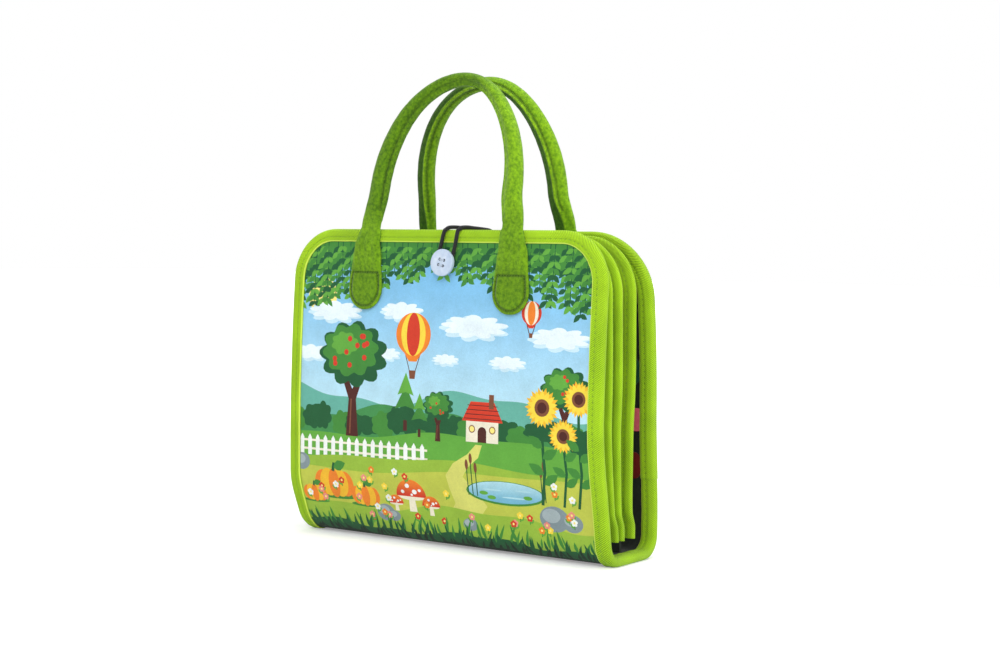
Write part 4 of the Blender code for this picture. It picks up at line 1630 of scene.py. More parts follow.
    def sunflower(self, x: float, v: float, size: float) -> None:
        """A tall sunflower.

        Args:
            x: place of its head across.
            v: place of its head up.
            size: its size.
        """
        self.add(stroke([(x - 3, 44), (x + 1.5, 70), (x, v)], 2.6 * size), Tint.LEAF_DARK)
        for height, angle in ((60, 35), (68, 150), (80, 30), (88, 145)):
            if height < v - 12:
                self.add(leaf(x + 0.6, height, 15 * size, 4 * size, angle), Tint.LEAF)
        for ring, tint in ((0, Tint.AMBER), (1, Tint.YELLOW)):
            for step in range(14):
                angle = 360 * (step + 0.5 * ring) / 14
                self.add(leaf(x, v, (15.5 - 1.5 * ring) * size, 2.7 * size, angle), tint)
        self.add(oval(x, v, 6.6 * size, 6.6 * size, 20), Tint.BARK_LIGHT)
        self.add(oval(x, v, 4.2 * size, 4.2 * size, 16), Tint.BARK)

    def pumpkin(self, x: float, v: float, size: float) -> None:
        """A ribbed pumpkin with its stalk and leaf.

        Args:
            x: place of its middle across.
            v: place of its middle up.
            size: its size.
        """
        self.add(oval(x, v - 10.5 * size, 22 * size, 2.6 * size), Tint.LEAF)
        for sign in (-1, 1):
            self.add(oval(x + sign * 11 * size, v, 8.5 * size, 10.5 * size), Tint.ORANGE)
        for sign in (-1, 1):
            self.add(oval(x + sign * 6 * size, v + 0.4, 8 * size, 11.6 * size), Tint.AMBER)
        self.add(oval(x, v, 5.6 * size, 12.2 * size), Tint.ORANGE)
        self.add(stroke([(x, v + 10 * size), (x + 1.5 * size, v + 17 * size)], 3 * size),
                 Tint.LEAF_DARK)
        self.add(leaf(x + size, v + 13 * size, 13 * size, 4.4 * size, 20), Tint.LEAF)

    def toadstool(self, x: float, v: float, size: float) -> None:
        """A toadstool with a spotted cap.

        Args:
            x: place of its middle across.
            v: place of its middle up.
            size: its size.
        """
        self.cut(x, v, size, ((-3.6, -11), (3.6, -11), (2.6, 4), (-2.6, 4)), Tint.CREAM)
        self.add(oval(x, v + 1.2 * size, 13 * size, 2.8 * size), Tint.CREAM)
        self.add(oval(x, v + 1.4 * size, 14.5 * size, 14 * size, 18, 0, 180), Tint.RED, Tint.ORANGE)
        for dx, dv, half in ((-8, 5, 1.7), (-3, 10, 2.1), (3.5, 5.5, 2.3), (8.5, 7, 1.5),
                             (0.5, 3, 1.1)):
            self.add(oval(x + dx * size, v + dv * size, half * size, half * size * 0.85, 12),
                     Tint.WHITE)

    def stones(self) -> None:
        """Rounded stones at the edge of the grass."""
        for x, v, half, rise in ((-56, 24, 9, 7), (-48, 22, 6, 4.5), (104, 34, 13, 10),
                                 (120, 32, 9, 7), (26, 22, 7, 5), (-136, 60, 8, 7)):
            self.add(oval(x, v, half, rise), Tint.STONE)
            self.add(oval(x - half * 0.2, v + rise * 0.25, half * 0.62, rise * 0.55),
                     Tint.STONE_LIGHT)

    def flowers(self) -> None:
        """Small flowers scattered over the meadow."""
        tints = (Tint.ROSE, Tint.YELLOW, Tint.WHITE, Tint.RED, Tint.ORANGE)
        for index in range(46):
            x, v = self.spread(-134, 134), self.spread(17, 62)
            if 18 < x < 104 and v > 36:
                continue
            self.add(stroke([(x, v - 5), (x, v)], 0.8), Tint.LEAF)
            self.add(leaf(x, v - 4, 5, 1.4, 40 if index % 2 else 140), Tint.LEAF_LIGHT)
            tint = tints[index % len(tints)]
            for petal in range(5):
                angle = math.radians(90 + 72 * petal)
                self.add(oval(x + 1.7 * math.cos(angle), v + 1.7 * math.sin(angle), 1.35, 1.35,
                              8), tint)
            self.add(oval(x, v, 1.0, 1.0, 8), Tint.SUN)

    def grass(self) -> None:
        """Dark tufts of grass at the foot, which run on over the spine."""
        self.add(self.ridge(11, ((2.5, 24, 0.3), (1.5, 9, 1.0))), Tint.LEAF_DARK)
        for row, (base, tint, count) in enumerate(((13, Tint.LEAF, 46), (9, Tint.LEAF_DARK, 60),
                                                   (3, Tint.DEEP, 56))):
            for step in range(count):
                x = -140 + 280 * step / (count - 1) + self.spread(-2.5, 2.5)
                high = self.spread(9, 19 - 2 * row)
                self.add(leaf(x, base - 4, high, self.spread(1.0, 1.7),
                              90 + self.spread(-28, 28)), tint)
        self.add(self.ridge(1, ((2, 21, 0.3), (1.2, 8, 1.0))), Tint.DEEP)

    def garland(self) -> None:
        """Leafy strands that hang from the top edge."""
        for base, size, tint in ((219, 5, Tint.LEAF_DARK), (226, 4, Tint.LEAF)):
            self.add([(x, base + size * abs(math.sin(x / 9.5 + base)) - 16 * (abs(x) / 148) ** 3)
                      for x in range(-148, 149, 2)] + [(148, 260), (-148, 260)], tint)
        for step in range(40):
            x = -142 + 7.3 * step + self.spread(-2, 2)
            edge = min(abs(x) / 140, 1.0)
            length = 20 + 32 * edge ** 1.5 + self.spread(-5, 7)
            swing = self.spread(-3, 3)
            line = [(x, 240), (x + swing * 0.5, 240 - length / 2), (x + swing, 238 - length)]
            self.add(stroke(line, 0.9), Tint.LEAF_DARK)
            rows = int(length / 4.6)
            for row in range(rows):
                share = row / max(rows, 1)
                at_x, at_v = x + swing * share, 236 - length * share
                tint = (Tint.LEAF_LIGHT, Tint.LEAF, Tint.LEAF_DARK)[(row + step) % 3]
                for angle in (-140, -40):
                    self.add(leaf(at_x, at_v, self.spread(6.5, 9.5), 2.1,
                                  angle + self.spread(-14, 14)), tint)


def turned_left(outline: Outline) -> Outline:
    """The outline, running anticlockwise."""
    area = sum(a[0] * b[1] - b[0] * a[1] for a, b in zip(outline, [*outline[1:], outline[0]]))
    return outline if area > 0 else outline[::-1]


def fold_levels(low: float, high: float) -> list[float]:
    """Heights at which a wrapped sheet needs edges, closer together round the spine.

    Args:
        low: its lowest v.
        high: its highest v.

    Returns:
        The heights.
    """
    levels = []
    level = low + 0.004
    while level < high:
        levels.append(level)
        level += 0.0022 if level < BOOK.fold + 0.014 else 0.012
    return levels


@dataclass
class CoverDress:
    """Layers of one cover, whose soft ones run on over its half of the spine.

    Args:
        side: the cover.
        finishes: the materials.
        picture: the print on the outer felt.
        lining_start: how deep the lining's outer face lies.
        hidden_inset: how far the felt stays inside the tape's edge.
        tape_overlap: length before the end of the back tape over which its ends lie on each other.
        board_depths: how deep the board's two faces lie.
        board_rise: how far over the fold the board starts.
        hinge_depth: not used.
    """

    side: Side
    finishes: Finishes
    picture: MeadowPrint
    felt: float = 0.0015
    lining_start: float = 0.0035
    hidden_inset: float = 0.0026
    tape_overlap: float = 0.090
    board_inset: float = 0.007
    board_depths: tuple[float, float] = (0.0018, 0.0032)
    board_rise: float = 0.0012
    hinge_depth: float = 0.039

    def build(self) -> list[bpy.types.Object]:
        """Make the outer felt, the lining, the tape and the board.

        Returns:
            The pieces.
        """
        name, label, front = self.side.cover, self.side.label, self.side is Side.FRONT
        spine_tape = "spine_binding_left" if front else "spine_binding_right"
        place, whole = BOOK.on(self.side), BOOK.panel(self.side)
        panel = whole.shrunk(self.hidden_inset)
        levels = fold_levels(panel.low, panel.top)
        jacket = FeltPlate(panel.outline(), place, 0.0, -self.felt, levels,
                           picture=self.picture).build(
            label + "_jacket", [self.finishes["printed_felt"]])
        lining = FeltPlate(panel.outline(), place, -self.lining_start, -BOOK.stack, levels).build(
            label + "_lining", [self.finishes["black_felt"]])
        tape = FoldedTape(whole, place, BOOK.stack, TAPE_WIDTH, seed=1 if front else 5,
                          overlap=0.0 if front else whole.rim()[-1].along - self.tape_overlap,
                          side_share=0.22).draft().build(
            label + "_tape", [self.finishes["binding_tape"], self.finishes["seam_thread"]])
        if front:
            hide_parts(name + "_felt", "spine_felt")
            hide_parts(name + "_lining", "spine_lining")
        else:
            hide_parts(name + "_felt")
            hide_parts(name + "_lining")
        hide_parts(name + "_binding", spine_tape)
        for piece in (jacket, lining, tape):
            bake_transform(piece)
        inner = RoundTopPanel(BOOK.half_width - self.board_inset, BOOK.fold + self.board_rise,
                              BOOK.top - self.board_inset,
                              BOOK.corner(self.side) - self.board_inset)
        outer, far = self.board_depths
        board = FeltPlate(inner.outline(), place, -outer, -far, levels).build(
            label + "_stiffener", [self.finishes["board"]])
        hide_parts(name + "_board")
        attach(board, name)
        return [jacket, lining, tape, board]
@dataclass
class SpineStrip:
    """Stiff strip in the foot of the book.

    Args:
        finishes: the materials.
    """

    finishes: Finishes
    low: float = 0.0029
    thick: float = 0.0014
    inset: float = 0.007
    corner: float = 0.003

    def build(self) -> bpy.types.Object:
        """Make the strip.

        Returns:
            The piece.
        """
        half = BOOK.half_width - self.inset
        place: Place = lambda x, v, off: BOOK.settle(Vector((x, v, self.low + off)))
        outline = round_box(-half, half, -BOOK.flat_half, BOOK.flat_half, self.corner)
        strip = FeltPlate(outline, place, self.thick, 0.0).build(
            "spine_strip", [self.finishes["board"]])
        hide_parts("spine_board")
        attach(strip, "spine")
        return strip


@dataclass
class PageDress:
    """One page: its felt leaf with the web it hangs on, its tape and its board.

    Args:
        number: number of the page, from the front.
        seam: place of its web along Y.
        lean_deg: how far it leans back.
        bow: how far its lower part bulges back.
        finishes: the materials.
        flare: how far its tape's lower ends stand back.
        pivot: z of its hinge.
        web_low: z of the web's foot.
        loose_width: how far in from the web's ends the page hangs free of it.
        web_foot: not used.
        hinge_gap: height of the felt's first row over the hinge.
        ripple: height of its soft waves.
        felt_inset: how far the felt stays inside the tape's edge.
        tape_start: height of the tape's ends over the hinge.
        board_depths: how deep the board's two faces lie.
    """

    number: int
    seam: float
    lean_deg: float
    bow: float
    finishes: Finishes
    half: float = 0.1465
    height: float = 0.2262
    corner: float = 0.043
    stack: float = 0.0030
    flare: float = 0.0038
    bend_height: float = 0.030
    pivot: float = 0.0203
    web_half: float = 0.1345
    web_low: float = 0.0066
    loose_width: float = 0.022
    web_foot: float = 0.0175
    hinge_gap: float = 0.0012
    ripple: float = 0.0003
    felt_inset: float = 0.0022
    tape_start: float = -0.0018
    tape_width: float = 0.0095
    tape_thick: float = 0.0006
    board_inset: float = 0.006
    board_depths: tuple[float, float] = (0.0012, 0.0018)

    def place(self, x: float, v: float, off: float) -> Vector:
        """Carry a place on the page into the book's frame.

        Args:
            x: place across.
            v: height above the page's hinge; below it the web hangs upright.
            off: how far it stands off the front felt.

        Returns:
            The point.
        """
        deep = -self.stack / 2 - off
        loose = ease((abs(x) - self.web_half + self.loose_width) / self.loose_width)
        hang = 1 - (1 - loose) * (1 - ease(v / 0.018))
        bulge = (1 + 0.3 * ease((v - 0.02) / 0.05)) * (1 - ease((v - 0.10) / 0.12))
        bulge = self.bow * hang * bulge + self.flare * loose * (1 - ease((v - 0.008) / 0.012))
        if v <= 0:
            deep *= 0.8 + 0.2 * loose
            return BOOK.settle(Vector((x, self.seam + deep + bulge, self.pivot + v)))
        share = ease((v - 0.03) / 0.15)
        deep += self.ripple * share * (math.sin(x * 46 + self.number * 2.1)
                                       + 0.6 * math.sin(v * 39 + x * 17 + self.number))
        deep += bulge
        lean = math.radians(self.lean_deg)
        return BOOK.settle(Vector((x, self.seam + deep * math.cos(lean) + v * math.sin(lean),
                                   self.pivot + v * math.cos(lean) - deep * math.sin(lean))))

    def build(self) -> list[bpy.types.Object]:
        """Make the leaf, its tape and its board.

        Returns:
            The pieces.
        """
        name = f"page_{self.number}"
        low = self.web_low - self.pivot
        outline = [(self.web_half, self.hinge_gap), (self.web_half, low), (-self.web_half, low),
                   (-self.web_half, self.hinge_gap)]
        panel = RoundTopPanel(self.half, self.hinge_gap, self.height, self.corner)
        outline += panel.shrunk(self.felt_inset).outline()
        web_levels = [low + 0.004, low + 0.008, -0.0008, 0.0003, 0.0015]
        levels = [0.012 * step for step in range(1, 19)]
        columns = [0.0155 * step for step in range(-9, 10)]
        leaf = FeltPlate(outline, self.place, 0.0, -self.stack, web_levels + levels,
                         columns).build(name + "_leaf", [self.finishes["black_felt"]])
        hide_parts(name + "_felt_front", name + "_felt_back", name + "_web")
        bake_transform(leaf)
        bound = RoundTopPanel(self.half, self.tape_start, self.height, self.corner)
        tape = FoldedTape(bound, self.place, self.stack, self.tape_width, self.tape_thick,
                          pucker=0.00015, crown=0.00022, seed=self.number * 3).draft().build(
            name + "_tape", [self.finishes["page_tape"], self.finishes["seam_thread"]])
        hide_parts(name + "_binding")
        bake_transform(tape)
        inset = self.board_inset
        inner = RoundTopPanel(self.half - inset, self.bend_height + 0.001, self.height - inset,
                              self.corner - inset)
        near, far = self.board_depths
        board = FeltPlate(inner.outline(), self.place, -near, -far, levels, columns).build(
            name + "_stiffener", [self.finishes["board"]])
        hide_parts(name + "_board")
        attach(board, name)
        return [leaf, tape, board]


class HandleStation(NamedTuple):
    """One section of a handle with its tabs."""

    centre: Vector
    across: Vector
    normal: Vector
    width: float
    thick: float
    flat: float
    along: float
    tab_height: float
    tab_sign: int


@dataclass
class HandleDress:
    """A padded handle and the two tabs that carry it, as one sewn piece.

    Args:
        side: the cover it belongs to.
        finishes: the materials.
        spacing: how far each tab stands from the handle's middle.
        arch_half: half the width of its arch.
        taper_start: height over which it gets narrower.
        flare: height over which a flat end becomes a tube.
        tab_wide: half the width of a tab at its round foot.
        tab_neck: half its width at its neck.
        neck_drop: how far under the tape's top the neck lies.
        lip: width of the front handle's double edge.
        squareness: how flat the faces of its strap are, from 0 to 1.
        edge_half: half the thickness of the front handle's double edge.
        skew: how far its crest stands to the right.
        ridge: height of the back handle's double edge.
        ridge_angle_half: half the angle that this edge takes round the section.
        ridge_seam: how far beside it the stitches lie.
        cross_below_top: how far under the tape's top the cross seam lies.
        seam_inset: how far the tabs' stitches lie from their edge.
        puff: how far a tab swells inside its edge.
        puff_width: width of that swelling's slope.
        groove: depth to which the tabs' stitches press the felt.
        groove_half: half the width of that groove.
        tab_crease: height of the creases at a tab's neck.
        tube_crease: height of the creases on the tube.
        thread: width and height of a stitch.
        plain_painted_shade: painted shade of the straps.
    """

    side: Side
    finishes: Finishes
    spacing: float = 0.070
    arch_half: float = 0.064
    leg: float = 0.030
    rise: float = 0.090
    tube_width: float = 0.0172
    tube_thick: float = 0.0120
    crest_width: float = 0.0106
    taper_start: float = 0.045
    strap_width: float = 0.0180
    strap_thick: float = 0.0040
    flare: float = 0.028
    tab_length: float = 0.064
    tab_wide: float = 0.0165
    tab_neck: float = 0.0138
    neck_drop: float = 0.021
    tab_top: float = 0.0100
    tab_thick: float = 0.0024
    sides: int = 72
    lip: float = 0.0026
    skew: float = 0.0045
    squareness: float = 0.62
    edge_half: float = 0.0014
    ridge: float = 0.0016
    ridge_angle_half: float = 0.17
    ridge_seam: float = 0.0020
    cross_below_top: float = 0.0345
    seam_inset: float = 0.0030
    pitch: float = 0.0028
    stitch: float = 0.0019
    tab_pitch: float = 0.0024
    tab_stitch: float = 0.0017
    puff: float = 0.00075
    puff_width: float = 0.004
    groove: float = 0.00085
    groove_half: float = 0.0019
    tab_crease: float = 0.00022
    tube_crease: float = 0.00016
    thread: tuple[float, float] = (0.0006, 0.0003)
    plain_painted_shade: float = 0.45

    @property
    def cross(self) -> float:
        """Height of the tabs' cross seam."""
        return TAPE_TOP - self.cross_below_top

    @property
    def bottom(self) -> float:
        """Height of the tabs' foot."""
        return TAPE_TOP - self.tab_length

    @property
    def lean(self) -> float:
        """Lean of the handle, in radians."""
        return math.radians(-12.0 if self.side is Side.FRONT else 9.0)

    @property
    def middle(self) -> float:
        """X of the handle's middle."""
        return -0.0030 if self.side is Side.FRONT else 0.0035

    @property
    def hinge(self) -> Vector:
        """Middle of the line on which the handle turns.

        Returns:
            The point.
        """
        drop = self.strap_thick * math.sin(abs(self.lean))
        depth = BOOK.depth(BOOK.top, self.side) + 0.0011 + CLEAR + self.tab_thick
        return Vector((self.middle, self.side.value * depth, TAPE_TOP + CLEAR + drop))

    def inset(self, sign: int) -> float:
        """How far the foot of the left (-1) or right (1) leg stands inside the tabs' spacing.

        Args:
            sign: the leg.

        Returns:
            The distance.
        """
        if sign > 0:
            return 0.0012
        return 0.0026 if self.side is Side.FRONT else 0.0042

    def slim(self, place: float, height: float) -> float:
        """Share by which a leg is narrower.

        Args:
            place: its place, from -1 at the left to 1 at the right.
            height: height over the hinge.

        Returns:
            The share.
        """
        if self.side is Side.FRONT:
            return 0.16 * ease((place + 0.2) / 0.8) * ease((height - 0.010) / 0.060)
        return 0.11 * ease((0.2 - place) / 0.8)

    def tab_half(self, height: float) -> float:
        """Half the tab's width at a height.

        Args:
            height: the height.

        Returns:
            Half the width.
        """
        swell = self.bottom + self.tab_wide
        neck = TAPE_TOP - self.neck_drop
        if height < swell:
            share = min(max((swell - height) / self.tab_wide, 0.0), 1.0)
            return self.tab_wide * math.sqrt(max(1 - share ** 2, 0.0))
        if height < neck:
            share = ease((height - swell) / (neck - swell))
            return self.tab_wide + (self.tab_neck - self.tab_wide) * share * 0.9
        share = (height - neck) / (TAPE_TOP - neck)
        start = self.tab_wide + (self.tab_neck - self.tab_wide) * 0.9
        return start + (self.tab_top - start) * share

    def tab_lift(self, height: float) -> float:
        """How far the tab's back stands off the felt."""
        edge = BOOK.top - TAPE_WIDTH
        return CLEAR + 0.0011 * ease((height - (edge - 0.0053)) / 0.005)

    def stations(self) -> list[HandleStation]:
        """Sections from the foot of the left tab over the arch to the foot of the right tab.

        Returns:
            The sections, with the length up to each.
        """
        left, right = [], []
        for item in self._climb():
            near = ease((item.tab_height - 0.235) / 0.015)
            shift = Vector((self.middle - self.spacing + self.inset(-1) * near, 0, 0))
            left.append(item._replace(centre=item.centre + shift, tab_sign=-1))
            shift = Vector((self.middle + self.spacing - self.inset(1) * near, 0, 0))
            right.insert(0, item._replace(centre=item.centre + shift, across=Vector((-1, 0, 0))))
        line = left + self._tube() + right
        lengths = lengths_along([item.centre for item in line])
        return [item._replace(along=along) for item, along in zip(line, lengths)]

    def _climb(self) -> list[HandleStation]:
        """Sections up a tab, as if it stood in the cover's middle.

        Returns:
            The sections.
        """
        climb, rows = [], 46
        for row in range(rows + 1):
            height = self.bottom + 0.0002 + (self.tab_length - 0.0010) * ((row / rows) ** 1.25)
            off = self.tab_lift(height) + self.tab_thick / 2
            centre = BOOK.place(self.side, 0, height, off)
            normal = (BOOK.place(self.side, 0, height, off + 0.001) - centre).normalized()
            climb.append(HandleStation(centre, Vector((1, 0, 0)), normal,
                                       2 * self.tab_half(height), self.tab_thick, 1.0, 0.0,
                                       height, 1))
        return climb

    def _tube(self) -> list[HandleStation]:
        """Sections of the padded tube, from its left foot over the crest to its right foot.

        Returns:
            The sections.
        """
        turn = Matrix.Rotation(self.lean, 3, "X")
        normal = turn @ Vector((0, self.side.value, 0))
        line, tube = self._arch(), []
        for index, (x, height) in enumerate(line):
            run = run_at(line, index)
            share = ease(height / self.flare)
            width = self.strap_width + (self.tube_width - self.strap_width) * share
            taper = max(height - self.taper_start, 0) / (self.leg + self.rise - self.taper_start)
            width += (self.crest_width - self.tube_width) * taper ** 2
            width *= 1 - self.slim(x / self.spacing, height)
            thick = self.strap_thick + (self.tube_thick - self.strap_thick) * share
            deep = -self.side.value * self.strap_thick / 2
            centre = self.hinge + turn @ Vector((x, deep, height))
            across = turn @ Vector((run.y, 0, -run.x))
            tube.append(HandleStation(centre, across, normal, width, thick, 1 - share, 0.0, 0.0, 0))
        return tube

    def _arch(self) -> Outline:
        """Middle line of the tube in the handle's plane.

        Returns:
            Its points, as across and up.
        """
        rise = self.rise - (0.0004 if self.side is Side.FRONT else 0.0034)
        line: Outline = []
        steps, turns = 12, 92
        for sign in (-1, 1):
            closing = self.spacing - self.arch_half - self.inset(sign)
            leg = [(sign * (self.arch_half + closing * (1 - ease(step / steps))),
                    0.0004 + self.leg * step / steps) for step in range(steps)]
            line += leg if sign < 0 else leg[::-1]
            if sign < 0:
                for step in range(turns + 1):
                    angle = math.pi * (1 - step / turns)
                    shift = self.skew * math.sin(angle) ** 6
                    line.append((self.arch_half * math.cos(angle) + shift,
                                 self.leg + rise * math.sin(angle)))
        return line

    def section(self, item: HandleStation) -> Outline:
        """Section of the handle at a station, as across and out.

        Args:
            item: the station.

        Returns:
            The ring's places, anticlockwise from the inner side.
        """
        if self.side is Side.BACK and not item.tab_sign:
            return self.ridged_section(item)
        ring = []
        lip = self.lip * (1 - item.flat)
        body = item.width - lip
        power = 1.0 - self.squareness * item.flat
        for step in range(self.sides):
            angle = 2 * math.pi * step / self.sides
            c, s = math.cos(angle), math.sin(angle)
            thin = 0.5 * item.thick * math.copysign(abs(s) ** power, s)
            across = body / 2 * c - lip / 2
            if lip > 0.0003 and c > 0.0:
                # The body closes on a thin double edge that carries the long seam
                near = ease((c - 0.62) / 0.30)
                across += lip * 1.15 * near
                half_edge = self.edge_half * min(1.0, abs(s) * 6)
                thin = thin * (1 - near) + math.copysign(half_edge, s) * near if s else 0.0
            ring.append((across, thin))
        return ring

    def ridge_angle(self, item: HandleStation) -> float:
        """Where round the back handle its seam lies, for this handle is twisted.

        Args:
            item: the station.

        Returns:
            The angle on the section.
        """
        share = min(max((item.centre.x - self.middle) / (2 * self.arch_half) + 0.5, 0.0), 1.0)
        low = 1 - ease((item.centre.z - TAPE_TOP) / 0.060)
        return math.radians(-73.0 - (19.0 + 8.0 * low) * ease(share))

    def ridged_section(self, item: HandleStation) -> Outline:
        """Section of the back handle, whose double edge stands up as a ridge on its near side.

        Args:
            item: the station.

        Returns:
            The ring's places, as across and out.
        """
        ring = []
        seam = self.ridge_angle(item)
        power = 1.0 - self.squareness * item.flat
        for step in range(self.sides):
            angle = 2 * math.pi * step / self.sides
            c, s = math.cos(angle), math.sin(angle)
            away = math.remainder(angle - seam, 2 * math.pi)
            rise = math.exp(-(away / self.ridge_angle_half) ** 2)
            rise *= self.ridge * (1 - 0.6 * item.flat)
            ring.append((item.width / 2 * c + rise * c,
                         0.5 * item.thick * math.copysign(abs(s) ** power, s) + rise * s))
        return ring

    def painted_shade(self, item: HandleStation, across: float, out: float) -> float:
        """Painted shade and highlight of the felt: 0 is plain, 1 painted shade, 2 deep painted
        shadow and -1 a painted highlight.

        Args:
            item: the station.
            across: the place across it.
            out: how far out from its middle.

        Returns:
            The nap.
        """
        if item.tab_sign:
            return self.tab_painted_shade(item, across)
        share = (item.centre.x - self.middle) / (2 * self.spacing) + 0.5
        # Painted shade on the front handle's left leg and crest, where less light falls.
        if self.side is Side.FRONT:
            tube = 1 - ease((share - 0.62) / 0.16)
            return self.plain_painted_shade + (tube - self.plain_painted_shade) * ease((1 - item.flat) / 0.6)
        # Painted shadow on the back handle beside its ridge, on the side away from the light, and a
        # painted highlight along the ridge.
        beyond = self.facing(item) * (across - self.ridge_across(item))
        near = 1 - ease(out / 0.0018)
        painted_shadow_side = ease((beyond - 0.0004) / 0.0010) * near * ease(abs(share - 0.5) / 0.13)
        crest = math.exp(-(beyond / 0.0010) ** 2) * near
        plain = max(self.plain_painted_shade * (1 - ease((share - 0.5) / 0.2)), 1.9 * painted_shadow_side)
        return plain * (1 - crest) - 0.9 * crest

    def tab_painted_shade(self, item: HandleStation, across: float) -> float:
        """Painted shade of a tab: lighter at its edge and above its cross seam.

        Args:
            item: the station.
            across: the place across it.

        Returns:
            The nap.
        """
        edge = ease((item.width / 2 - abs(across)) / 0.0032)
        above = ease((item.tab_height - TAPE_TOP + self.cross_below_top) / 0.012)
        return (0.42 + 0.36 * edge) * (1 - above) + self.plain_painted_shade * above

    def wrinkle(self, item: HandleStation, across: float) -> float:
        """Height of soft creases at a place on the handle.

        Args:
            item: the station.
            across: the place across it.

        Returns:
            The height.
        """
        if item.tab_sign:
            above = (item.tab_height - self.cross) / self.cross_below_top
            if above < 0:
                return 0.0
            fan = math.sin(across * 900 + above * 3 + item.tab_sign)
            return self.tab_crease * fan * math.sin(math.pi * min(above, 1.0))
        return self.tube_crease * (math.sin(item.along * 310 + across * 240)
                                   + 0.8 * math.sin(item.along * 173 - across * 330))

    def tab_seam(self, across: float, height: float) -> float:
        """Distance from a place on a tab to its line of stitches.

        Args:
            across: the place across.
            height: its height.

        Returns:
            The distance.
        """
        cross = self.cross
        centre = self.bottom + self.tab_wide
        inner = self.tab_wide - self.seam_inset
        if height < centre:
            return abs(math.hypot(across, height - centre) - inner)
        side_half = self.tab_half(min(height, cross)) - self.seam_inset
        if height <= cross:
            return min(abs(abs(across) - side_half), abs(height - cross))
        if abs(across) <= side_half:
            return height - cross
        return math.hypot(abs(across) - side_half, height - cross)

    def surface(self, item: HandleStation, across: float, out: float) -> tuple[float, float]:
        """Puffs, creases and seams of the felt at a place on the handle.

        Args:
            item: the station.
            across: the place across it.
            out: how far out from its middle the plain section lies.

        Returns:
            How far out the felt lies, and its distance from the nearest seam.
        """
        if item.tab_sign:
            if out <= 0:
                return out, UNSEWN
            gap = self.tab_seam(across, item.tab_height)
            edge = ease(max(item.width / 2 - abs(across), 0.0) / self.puff_width)
            out += self.puff * edge - self.groove * max(0.0, 1 - gap / self.groove_half) ** 1.5
            return out + self.wrinkle(item, across) * edge, gap
        deep = out + math.copysign(self.wrinkle(item, across), out) if out else out
        gap = UNSEWN
        if item.flat < 0.5:
            if self.side is Side.FRONT:
                gap = abs(across - self.seam_across(item))
                gap += 0.0009 * ease((item.centre.x - self.middle) / 0.06 + 0.7)
            elif out <= 0:
                gap = abs(across - self.seam_across(item))
        elif self.side is Side.FRONT:
            gap = math.hypot(across - item.width / 2 + 0.0016, (item.flat - 0.72) * 0.016)
        return deep, gap

    def build(self) -> bpy.types.Object:
        """Make the handle with its seams.

        Returns:
            The piece.
        """
        stations = self.stations()
        rings, seam, painted_shade = [], [], []
        for item in stations:
            ring = []
            for across, out in self.section(item):
                deep, gap = self.surface(item, across, out)
                ring.append(item.centre + item.across * across + item.normal * deep)
                seam.append(gap)
                # Each point also gets its painted shade and highlight.
                painted_shade.append(self.painted_shade(item, across, out))
            rings.append(ring)
        widest = self.section(stations[len(stations) // 2])
        made = MeshDraft()
        made.add_rings(rings, lengths_along([*widest, widest[0]]),
                       [item.along for item in stations])
        self.sew_tabs(made)
        self.sew_lip(made, stations)
        made.marks = {"seam_distance": seam, "painted_shade": painted_shade}
        name, label = self.side.handle, self.side.label
        piece = made.build(
            name + "_pad", [self.finishes["handle_felt"], self.finishes["handle_thread"]], 75.0)
        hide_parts(name + "_sleeve", name + "_core", label + "_tab_left",
                    label + "_tab_right")
        hinge = self.hinge
        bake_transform(piece)
        return piece

    def facing(self, item: HandleStation) -> float:
        """Sign across a section that points down and outwards."""
        return -1.0 if item.across.x > 0 else 1.0

    def ridge_across(self, item: HandleStation) -> float:
        """Place of the back handle's ridge across a section."""
        return item.width / 2 * math.cos(self.ridge_angle(item))

    def seam_across(self, item: HandleStation) -> float:
        """Place of the long row of stitches across the handle.

        Args:
            item: the station.

        Returns:
            The place.
        """
        if self.side is Side.FRONT:
            return item.width / 2 - self.lip - 0.0004
        return self.ridge_across(item) - self.facing(item) * self.ridge_seam

    def sew_tabs(self, made: MeshDraft) -> None:
        """Add the U of stitches and the cross row on each tab.

        Args:
            made: the draft of the handle.
        """
        cross, centre = self.cross, self.bottom + self.tab_wide
        inner = self.tab_wide - self.seam_inset
        line: Outline = []
        for step in range(9):
            height = cross + (centre - cross) * step / 8
            line.append((self.tab_half(height) - self.seam_inset, height))
        for step in range(1, 24):
            angle = -math.pi * step / 24
            line.append((inner * math.cos(angle), centre + inner * math.sin(angle)))
        for step in range(9):
            height = centre + (cross - centre) * step / 8
            line.append((self.seam_inset - self.tab_half(height), height))
        half = self.tab_half(cross) - self.seam_inset
        for step in range(1, 9):
            line.append((-half + 2 * half * step / 8, cross))
        outwards = Vector((0, self.side.value, 0))
        for sign in (-1, 1):
            for ends in even_steps(line, self.tab_pitch, self.tab_stitch):
                start, end = (BOOK.place(self.side, x + self.middle + sign * self.spacing, height,
                                         self.tab_lift(height) + self.tab_thick + 0.0001)
                              for x, height in ends)
                made.add_stitch(start, end, outwards, *self.thread)

    def sew_lip(self, made: MeshDraft, stations: list[HandleStation]) -> None:
        """Add the long row of stitches where the tube closes on its double edge.

        Args:
            made: the draft of the handle.
            stations: the handle's sections.
        """
        middles, rises, lengths = [], [], []
        for item in stations:
            if item.tab_sign == 0 and item.flat < 0.35:
                place = self.seam_across(item)
                rise = 0.0021
                if self.side is Side.BACK:
                    bend = min(abs(place) / (item.width / 2), 1.0)
                    rise = item.thick / 2 * math.sqrt(1 - bend ** 2) + 0.0001
                middles.append(item.centre + item.across * place)
                rises.append(item.normal * rise)
                lengths.append(item.along)
        along = lengths[0]
        while along < lengths[-1] - self.pitch:
            ends = []
            for target in (along, along + self.stitch):
                index, share = share_at(lengths, target)
                ends.append((middles[index].lerp(middles[index + 1], share), rises[index]))
            for face in ((1, -1) if self.side is Side.FRONT else (-1,)):
                start, end = (point + rise * face for point, rise in ends)
                made.add_stitch(start, end, ends[0][1] * face, *self.thread)
            along += self.pitch


